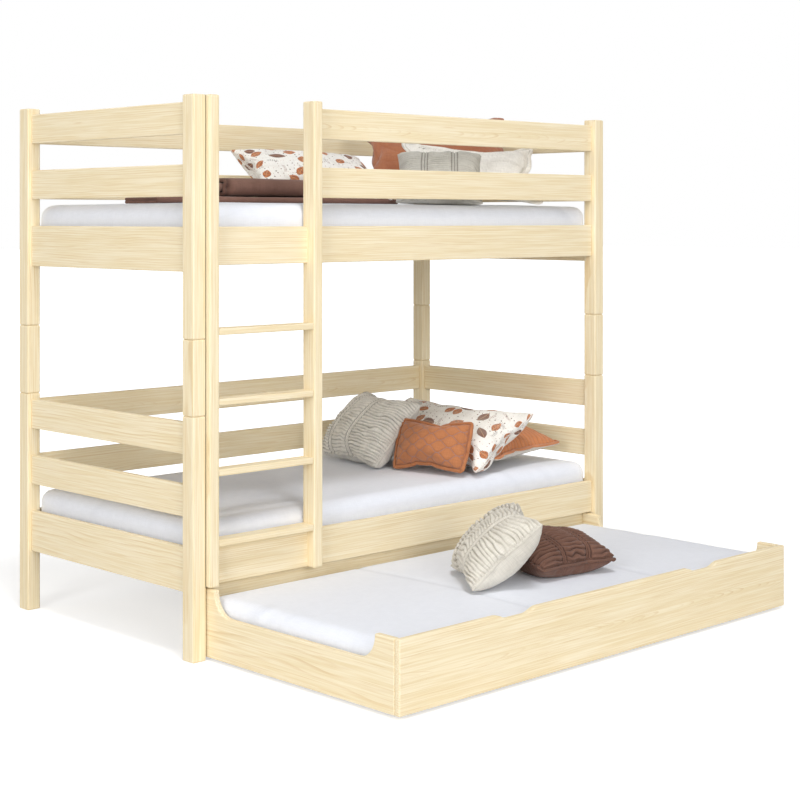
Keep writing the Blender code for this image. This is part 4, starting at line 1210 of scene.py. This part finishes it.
    def press(self, places: np.ndarray, neighbours: list) -> np.ndarray:
        """Moves what would be inside a neighbour out of it.

        It goes to the neighbour's face if this cushion lies in front, and otherwise to the side
        where this cushion is. A level push moves it forward without lifting it.

        Args:
            places: The cushion's points.
            neighbours: Each one's surface, middle and the way that it faces.

        Returns:
            The points, clear of the neighbours.
        """
        for tree, middle, facing in neighbours:
            ahead = self.in_front or (Vector(places.mean(0)) - middle).dot(facing) > 0
            side = facing if ahead else -facing
            level = Vector((side.x, side.y, 0))
            if self.level_push and level.length > 0:
                side = level.normalized()
            for index in range(len(places)):
                point = Vector(places[index])
                out, normal, _, _ = tree.ray_cast(point, side, 0.25)
                while out is not None and normal.dot(side) > 0:
                    point = out + side * 0.0010
                    out, normal, _, _ = tree.ray_cast(point, side, 0.02)
                places[index] = point
        return places

    def build(self, mattress: Mattress, neighbours: list) -> bpy.types.Object:
        """Makes the cushion and sets it down.

        Args:
            mattress: What it rests on.
            neighbours: What it leans on: each one's surface, middle and the way that it faces.

        Returns:
            The finished piece.
        """
        obj = self.flat_bag()
        self.inflate(obj)
        smooth_finer(obj, self.levels)
        self.work_cover(obj.data)
        self.add_flange(obj)
        obj.data.polygons.foreach_set("material_index", [0] * len(obj.data.polygons))
        self.set_down(obj, mattress, neighbours)
        obj.data.shade_smooth()
        obj.data.materials.append(bpy.data.materials.get(self.cloth.name) or self.cloth.material())
        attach(obj, self.body)
        if self.node:
            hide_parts(self.node)
        self.obj = obj
        return obj

    def surface(self) -> tuple[BVHTree, Vector, Vector]:
        """The finished cushion's surface, middle and facing, for what leans on it."""
        tree = BVHTree.FromObject(self.obj, bpy.context.evaluated_depsgraph_get())
        middle = Vector(vertex_places(self.obj.data).mean(0))
        return tree, middle, self.turn() @ Vector((0, 0, 1))

    def turn(self) -> Matrix:
        """The cushion's yaw, lean and roll as one rotation."""
        turn = Matrix.Rotation(math.radians(-self.yaw), 3, "Z")
        turn @= Matrix.Rotation(math.radians(90 - self.lean), 3, "X")
        return turn @ Matrix.Rotation(math.radians(self.roll), 3, "Z")


@dataclass
class FoldedThrow:
    """One fold of a throw: a sheet doubled once or twice, its round edge towards the ladder."""

    name: str
    x: tuple[float, float]
    y: tuple[float, float]
    doublings: int
    layer_pitch: float
    cloth_thickness: float
    seed: int = 1
    cell: float = 0.0065

    @property
    def layers(self) -> int:
        """How many layers lie on each other."""
        return 2**self.doublings

    @property
    def columns(self) -> int:
        """How many cells the fold has along its length."""
        return round((self.x[1] - self.x[0]) / self.cell)

    def profile(self) -> list[tuple[float, float, int]]:
        """The sheet's middle line from the side, with each point's share inwards, from z zero up.

        Doubled once, it goes forward along the bottom, round the front and back along the top.
        Doubled twice, it turns down at the back there, and runs the same way again inside itself.
        """
        near, far = self.y
        top = (self.layers - 1) * self.layer_pitch
        line = []
        for inner in range(self.doublings):
            radius = top / 2 - inner * self.layer_pitch
            front = near + self.cloth_thickness / 2 + top / 2
            low, high = top / 2 - radius, top / 2 + radius
            upward = inner == 0
            first, second = (low, high) if upward else (high, low)
            count = max(4, round((far - front) / self.cell))
            for step in range(count):
                line.append((far + (front - far) * step / count, first, inner))
            steps = max(6, round(math.pi * radius / self.cell))
            for step in range(steps):
                turn = math.pi * step / steps
                level = top / 2 + (-1 if upward else 1) * radius * math.cos(turn)
                line.append((front - radius * math.sin(turn), level, inner))
            for step in range(count):
                line.append((front + (far - front) * step / count, second, inner))
            if inner < self.doublings - 1:
                bend = self.layer_pitch / 2
                for step in range(6):
                    turn = math.pi * step / 6
                    level = second - bend + bend * math.cos(turn)
                    line.append((far + bend * math.sin(turn), level, inner))
        line.append((far, second, inner))
        return line

    def build(self, bottom: Callable[[np.ndarray, np.ndarray], np.ndarray]) -> bpy.types.Object:
        """Makes the fold.

        Args:
            bottom: Gives the level that it lies on at places in plan.

        Returns:
            The finished piece.
        """
        line = self.profile()
        steps = [math.dist(a[:2], b[:2]) for a, b in zip(line, line[1:])]
        along = np.concatenate(([0.0], np.cumsum(steps)))
        xs = np.linspace(self.x[0], self.x[1], self.columns + 1)
        bm = bmesh.new()
        layer = bm.loops.layers.uv.new("cloth")
        grid = []
        for x in xs:
            end = max(0.0, 1 - (x - self.x[0]) / 0.12)
            grid.append([bm.verts.new((x + 0.034 * end * (1 - k), y, z)) for y, z, k in line])
        for i in range(self.columns):
            for j in range(len(line) - 1):
                picks = [(i, j), (i + 1, j), (i + 1, j + 1), (i, j + 1)]
                made = bm.faces.new([grid[a][b] for a, b in picks])
                for loop, (a, b) in zip(made.loops, picks):
                    loop[layer].uv = (xs[a], along[b])
        self.obj = add_piece(self.name, bm)
        mesh = self.obj.data
        x, y, z = vertex_places(mesh).T
        height = z.max()
        half = (self.x[1] - self.x[0]) / 2
        off = (x - (self.x[0] + self.x[1]) / 2) / half
        y = y + 0.005 * flat_noise(x * 3, z * 12, self.seed + 1)
        sway = 0.0030 * flat_noise(x * 6, y * 9, self.seed + 2) * (0.3 + z / height)
        crease = np.exp(-np.abs(flat_noise(x * 5 + y * 4, y * 9, self.seed + 3)) / 0.05)
        tuck = np.exp(-(((x - self.x[0] - 0.045) / 0.016) ** 2 + ((z / height - 0.45) / 0.3) ** 2))
        tuck = tuck * (y < self.y[0] + 0.03) * (self.doublings > 1)
        droop = 0.30 * z * np.clip(np.abs(off) - 0.90, 0, 1) / 0.10
        z = z + sway - 0.0026 * crease * (z / height) - droop
        y = y + 0.020 * tuck
        z = z + bottom(x, y) + self.cloth_thickness / 2 + 0.0006
        set_places(mesh, np.column_stack((x, y, z)))
        only(self.obj)
        wall = self.obj.modifiers.new("cloth", "SOLIDIFY")
        wall.thickness = self.cloth_thickness
        wall.offset = 0.0
        bpy.ops.object.modifier_apply(modifier=wall.name)
        smooth_finer(self.obj, 1)
        mesh.shade_smooth()
        x, y, z = vertex_places(mesh).T
        # Painted shade in the hollow where the layers open at the fold's left end, over a random darker
        # mottle.
        hollow = np.exp(-(((x - self.x[0] - 0.045) / 0.012) ** 2)) * (self.doublings > 1)
        write_painted_shade(mesh, 0.25 * np.abs(flat_noise(x * 9, y * 30, 4)) + 0.6 * hollow)
        self.flat = (float(self.x[1] - self.x[0]), float(along[-1]))
        return self.obj

    def dress(self, cloth: ClothFinish, node: str, rests_on: list[str]) -> None:
        """Gives the fold its cloth, hangs it on the bed frame and hides the frame's part that it stands in
        for.
        """
        self.obj.data.materials.append(bpy.data.materials.get(cloth.name) or cloth.material())
        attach(self.obj, "bed_frame")
        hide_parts(node)


class WoodenFrame:
    """The bed's and the trundle's wooden parts, as the frame holds them, each with its own grain."""

    beside_ladder = ("lower_post_front_left", "spacer_front_left", "upper_post_front_left")
    flat_sawn = ("trundle_front_panel", "upper_front_top_board", "lower_rear_top_board")
    heart_depth = 0.026
    heart_offset = 0.008
    heart_taper = 0.11
    # Width and colour of the strip of painted shade beside the ladder.
    gap_shade_width = 0.0062
    painted_gap_shade = srgb(104, 92, 70)

    def __init__(self, finish: PineFinish) -> None:
        """Takes the wood's finish."""
        self.finish = finish

    def grain_of(self, node: str) -> Grain:
        """The way that a part's grain runs."""
        if "post" in node or "spacer" in node or "upright" in node:
            return Grain.UPRIGHT
        if "_end_" in node or node in ("trundle_left_panel", "trundle_right_panel"):
            return Grain.CROSSWISE
        return Grain.LENGTHWISE

    def dress(self) -> int:
        """Finishes every pine part.

        Returns:
            How many parts there are.
        """
        parts = [
            name
            for name in sorted(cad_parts)
            if not any(word in name for word in ("slats", "mattress", "cushions", "castor"))
        ]
        draw = np.random.default_rng(11)
        for name in parts:
            grain = self.grain_of(name)
            cut = draw.uniform(-1, 1, 3)
            shift = (float(cut[0] * 3), float(0.05 + 0.05 * cut[1]), float(0.12 + 0.05 * cut[2]))
            taper = 0.0
            if name in self.flat_sawn:
                low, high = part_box(name)
                middle = ((a + b) / 2 for a, b in zip(low, high))
                _, across, level = middle
                shift = (shift[0], self.heart_depth - across, self.heart_offset - level)
                taper = self.heart_taper
            material = self.finish.material(name, grain, shift, taper)
            # The posts beside the ladder get a strip of painted shade where the ladder meets them.
            if name in self.beside_ladder:
                self.paint_gap_shade(material)
            self.paint(name, material)
        return len(parts)

    def paint_gap_shade(self, material: bpy.types.Material) -> None:
        """Paints a dark strip of shade along a front left post's front face where the ladder stands against
        it, in place of the shade in the narrow gap between them.
        """
        bench = Bench(material.node_tree)
        colour = material.node_tree.nodes["Principled BSDF"].inputs["Base Color"]
        low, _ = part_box("ladder_left_upright")
        x, _, z = bench.parts(bench.node("ShaderNodeTexCoord").outputs["Object"])
        near = bench.stretch(x, low[0] - self.gap_shade_width, low[0] - self.gap_shade_width / 2)
        above = bench.math("GREATER_THAN", z, low[2])
        share = bench.math("MULTIPLY", bench.math("MULTIPLY", near, above), 0.85)
        bench.feed(colour, bench.mix(share, colour.links[0].from_socket, self.painted_gap_shade))

    def paint(self, node: str, material: bpy.types.Material) -> None:
        """Puts one material on a part."""
        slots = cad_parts[node].material_slots
        for slot in slots:
            slot.link = "OBJECT"
            slot.material = material


class Hardware:
    """Slatted bases and castors, as the frame holds them."""

    def dress(self, wood: WoodenFrame) -> int:
        """Finishes the slats, brackets and wheels.

        Args:
            wood: The wooden frame, which knows how to paint a part.

        Returns:
            How many parts there are.
        """
        slat, zinc, plastic = SlatFinish(), ZincFinish().material(), TyrePlasticFinish().material()
        count = 0
        for name in sorted(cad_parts):
            if name.endswith("slats"):
                low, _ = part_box(name)
                wood.paint(name, slat.material(name, low[2] + 0.0014))
            elif name.startswith("castor_bracket"):
                wood.paint(name, zinc)
            elif name.startswith("castor_wheel"):
                wood.paint(name, plastic)
            else:
                continue
            count += 1
        return count


LOWER_NODE, UPPER_NODE = "lower_cushions", "upper_cushions"

LOWER_CUSHIONS = (
    Cushion(
        "printed_cushion_lower",
        LOWER_NODE,
        "bed_frame",
        PRINTED_COTTON,
        Relief.PLAIN,
        size=(0.595, 0.388, 0.172),
        place=(0.303, 0.2670, 0.450),
        yaw=79,
        lean=61.2,
        roll=-5,
        slump=0.25,
        let_out=0.17,
        corner=0.0,
        seed=21,
    ),
    Cushion(
        "grey_ruched_cushion",
        LOWER_NODE,
        "bed_frame",
        GREY_COTTON,
        Relief.RUCHED,
        size=(0.370, 0.302, 0.175),
        place=(0.174, 0.5055, 0.443),
        yaw=96.0,
        lean=43.2,
        roll=-2.2,
        flange=Flange(0.012, 0.008, 0.022, "tl"),
        bands=(-0.25, 0.05),
        slump=0.3,
        cells=52,
        let_out=0.07,
        corner=0.0,
        depth=0.0068,
        pitch=0.0115,
        frill=1.3,
        seed=5,
    ),
    Cushion(
        "quilted_cushion",
        LOWER_NODE,
        "bed_frame",
        QUILTED_COTTON,
        Relief.QUILTED,
        size=(0.272, 0.171, 0.130),
        place=(0.252, 0.1495, 0.448),
        yaw=74.3,
        lean=26.5,
        roll=0.6,
        flange=Flange(0.012, 0.003, 0.045),
        sag=0.004,
        cells=48,
        corner=-0.02,
        let_out=0.09,
        pinch=0.005,
        seed=8,
    ),
    Cushion(
        "ribbed_cushion",
        LOWER_NODE,
        "bed_frame",
        RIBBED_COTTON,
        Relief.RIBBED,
        size=(0.405, 0.430, 0.110),
        place=(0.664, 0.0230, 0.480),
        yaw=6.7,
        lean=77.5,
        roll=12.5,
        flange=Flange(0.012, 0.004, 0.032),
        pitch=0.0195,
        cells=48,
        let_out=0.06,
        seed=13,
    ),
)

UPPER_CUSHIONS = (
    Cushion(
        "printed_cushion_upper",
        UPPER_NODE,
        "bed_frame",
        PRINTED_COTTON,
        Relief.PLAIN,
        size=(0.570, 0.372, 0.165),
        place=(0.050, 0.4685, 1.442),
        yaw=11.2,
        lean=61.5,
        roll=-4.3,
        slump=0.2,
        let_out=0.06,
        seed=31,
    ),
    Cushion(
        "crushed_cushion",
        UPPER_NODE,
        "bed_frame",
        CRUSHED_VELVET,
        Relief.CRUSHED,
        size=(0.638, 0.500, 0.118),
        place=(0.455, 0.2670, 1.455),
        yaw=38,
        lean=50,
        roll=0.8,
        let_out=0.10,
        corner=0.05,
        seed=34,
    ),
    Cushion(
        "linen_cushion",
        UPPER_NODE,
        "bed_frame",
        NATURAL_LINEN,
        Relief.PLAIN,
        size=(0.500, 0.400, 0.120),
        place=(0.479, 0.1470, 1.436),
        yaw=39,
        lean=58,
        roll=-4,
        flange=Flange(0.018, 0.003, 0.080),
        sag=0.042,
        let_out=0.10,
        corner=-0.03,
        sag_at=0.24,
        in_front=True,
        level_push=True,
        seed=37,
    ),
    Cushion(
        "pleated_cushion",
        UPPER_NODE,
        "bed_frame",
        LIGHT_GREY_COTTON,
        Relief.RUCHED,
        size=(0.305, 0.280, 0.140),
        place=(0.265, 0.1033, 1.424),
        yaw=44,
        lean=51,
        roll=-1,
        bands=(-0.17, 0.17),
        pitch=0.011,
        sag=0.022,
        cells=52,
        let_out=0.07,
        corner=-0.05,
        depth=0.0058,
        in_front=True,
        seed=41,
    ),
)

TRUNDLE_CUSHIONS = (
    Cushion(
        "brown_ruched_cushion",
        None,
        "trundle",
        BROWN_COTTON,
        Relief.RUCHED,
        size=(0.310, 0.280, 0.140),
        place=(0.097, -0.7050, 0.241),
        yaw=9.6,
        lean=82.5,
        roll=1.2,
        flange=Flange(0.009, 0.005, 0.024),
        bands=(-0.17, 0.17),
        pitch=0.014,
        depth=0.0062,
        cells=50,
        let_out=0.05,
        corner=0.02,
        frill=1.3,
        seed=51,
    ),
    Cushion(
        "cream_ruched_cushion",
        None,
        "trundle",
        CREAM_COTTON,
        Relief.RUCHED,
        size=(0.345, 0.293, 0.165),
        place=(-0.233, -0.4965, 0.213),
        yaw=126.6,
        lean=48.1,
        roll=0.6,
        flange=Flange(0.010, 0.010, 0.019, "l"),
        bands=(-0.17, 0.17),
        cells=52,
        let_out=0.06,
        corner=-0.02,
        depth=0.0058,
        frill=2.0,
        seed=55,
    ),
)


class Bedding:
    """The soft goods of one bed: its mattress, its cushions, and a throw where it has one."""

    def __init__(self, mattress: Mattress, cushions: tuple, throws: tuple = ()) -> None:
        """Takes the pieces, the cushions in the order that they lean on each other."""
        self.mattress, self.cushions, self.throws = mattress, cushions, throws

    def build(self, cover: bpy.types.Material) -> None:
        """Makes and dresses every piece.

        Args:
            cover: The mattress's cloth.
        """
        self.mattress.build()
        self.mattress.dress(cover)
        log.info("%s: mattress", self.mattress.name)
        trees = []
        level = self.mattress.top_at
        for throw in self.throws:
            throw.build(level)
            throw.dress(THROW_WOOL, UPPER_NODE, [self.mattress.name])
            tree = BVHTree.FromObject(throw.obj, bpy.context.evaluated_depsgraph_get())
            trees.append((tree, Vector((0, 0, 0)), Vector((0, 0, 1))))
            level = self.on_top(level, throw)
            log.info("%s: folded throw", throw.name)
        for cushion in self.cushions:
            cushion.build(self.mattress, trees)
            trees.append(cushion.surface())
            log.info("%s: cushion, %s", cushion.name, cushion.relief.value)

    def on_top(self, level: Callable, throw: FoldedThrow) -> Callable:
        """The level over a throw, for the next fold that lies on it."""
        rise = (throw.layers - 1) * throw.layer_pitch + throw.cloth_thickness + 0.002
        return lambda x, y: level(x, y) + rise


class Studio:
    """The camera of the photograph, a white floor and plain soft light."""

    camera_place = (-4.0263, -4.1400, 1.3623)
    camera_yaw = -43.95
    lens = 73.98
    sensor = 36.0
    shift_up = -0.2262

    def camera(self) -> None:
        """Sets up the camera: level, and shifted down to frame the bed."""
        data = bpy.data.cameras.new("camera")
        data.lens, data.sensor_width = self.lens, self.sensor
        data.shift_y = self.shift_up
        data.clip_end = 200
        obj = bpy.data.objects.new("camera", data)
        obj.location = self.camera_place
        obj.rotation_euler = (math.pi / 2, 0, math.radians(self.camera_yaw))
        bpy.context.scene.collection.objects.link(obj)
        bpy.context.scene.camera = obj

    def floor(self) -> None:
        """Lays a white floor that takes the bed's soft shadow."""
        bpy.ops.object.select_all(action="DESELECT")
        bpy.ops.mesh.primitive_plane_add(size=120, location=(0, 0, -0.0005))
        floor = bpy.context.active_object
        floor.name = "floor"
        material, bench, shader = new_material("white_floor")
        shader.inputs["Base Color"].default_value = (0.80, 0.80, 0.80, 1.0)
        shader.inputs["Roughness"].default_value = 0.9
        path = bench.node("ShaderNodeLightPath")
        seen = bench.math("MAXIMUM", path.outputs["Is Camera Ray"], path.outputs["Is Glossy Ray"])
        seen = bench.math("MAXIMUM", seen, path.outputs["Is Transmission Ray"])
        place = bench.node("ShaderNodeTexCoord").outputs["Object"]
        away = bench.node("ShaderNodeVectorMath", {0: place}, operation="LENGTH").outputs["Value"]
        level = bench.stretch(away, 1.6, 4.0, (0.55, 1.0))
        glow = bench.node("ShaderNodeEmission", {"Color": (1.0, 1.0, 1.0, 1.0)})
        bench.feed(glow.inputs["Strength"], bench.math("MULTIPLY", seen, level))
        both = bench.node("ShaderNodeAddShader")
        bench.feed(both.inputs[0], shader.outputs[0])
        bench.feed(both.inputs[1], glow.outputs[0])
        output = material.node_tree.nodes["Material Output"]
        bench.feed(output.inputs["Surface"], both.outputs[0])
        floor.data.materials.append(material)

    def world(self) -> None:
        """A white surround, at full white where the camera sees it and softer as light."""
        world = bpy.data.worlds.new("surround")
        bpy.context.scene.world = world
        world.use_nodes = True
        bench = Bench(world.node_tree)
        ground = world.node_tree.nodes["Background"]
        ground.inputs["Color"].default_value = (1.0, 1.0, 1.0, 1.0)
        path = bench.node("ShaderNodeLightPath")
        seen = bench.math("MAXIMUM", path.outputs["Is Camera Ray"], path.outputs["Is Glossy Ray"])
        seen = bench.math("MAXIMUM", seen, path.outputs["Is Transmission Ray"])
        bench.feed(ground.inputs["Strength"], bench.stretch(seen, 0.0, 1.0, (0.32, 1.0)))

    def lamp(self, name: str, place: tuple, target: tuple, size: float, power: float) -> None:
        """Hangs a square soft lamp that faces a target."""
        data = bpy.data.lights.new(name, "AREA")
        data.size, data.energy = size, power
        obj = bpy.data.objects.new(name, data)
        obj.location = place
        obj.rotation_euler = (Vector(target) - Vector(place)).to_track_quat("-Z", "Y").to_euler()
        bpy.context.scene.collection.objects.link(obj)

    def build(self) -> None:
        """Sets up the whole studio."""
        bpy.context.scene.view_settings.view_transform = "Standard"
        self.camera()
        self.floor()
        self.world()
        self.lamp("key", (-2.5, -3.9, 10.8), (0, 0, 0.8), 2.4, 462)
        self.lamp("front_fill", (-3.5, -9.0, 3.3), (0, 0, 0.8), 3.5, 283)
        self.lamp("side_fill", (-9.0, -3.5, 3.3), (0, 0, 0.8), 3.5, 312)
        log.info("studio: camera, floor and lamps")


def main() -> None:
    """Builds the bed's pieces in order."""
    logging.basicConfig(level=logging.INFO, format="%(message)s")
    Studio().build()
    wood = WoodenFrame(PineFinish())
    log.info("wooden frame: %d parts", wood.dress())
    log.info("slats and castors: %d parts", Hardware().dress(wood))
    cover = MATTRESS_COTTON.material()
    lower = Mattress("lower_mattress_covered", "lower_mattress", "bed_frame", seed=61)
    upper = Mattress("upper_mattress_covered", "upper_mattress", "bed_frame", seed=62)
    trundle = Mattress(
        "trundle_mattress_covered", "trundle_mattress", "trundle", seams=(-0.30, 0.32), seed=63
    )
    throws = (
        FoldedThrow(
            "throw_lower_fold",
            x=(-0.808, 0.355),
            y=(0.4080, 0.6000),
            doublings=1,
            layer_pitch=0.0114,
            cloth_thickness=0.0108,
            seed=71,
        ),
        FoldedThrow(
            "throw_upper_fold",
            x=(-0.500, 0.300),
            y=(0.4260, 0.5700),
            doublings=2,
            layer_pitch=0.0160,
            cloth_thickness=0.0140,
            seed=72,
        ),
    )
    Bedding(lower, LOWER_CUSHIONS).build(cover)
    Bedding(upper, UPPER_CUSHIONS, throws).build(cover)
    Bedding(trundle, TRUNDLE_CUSHIONS).build(cover)
    for cushion in TRUNDLE_CUSHIONS:
        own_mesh(cushion.obj)


if __name__ == "__main__":
    main()
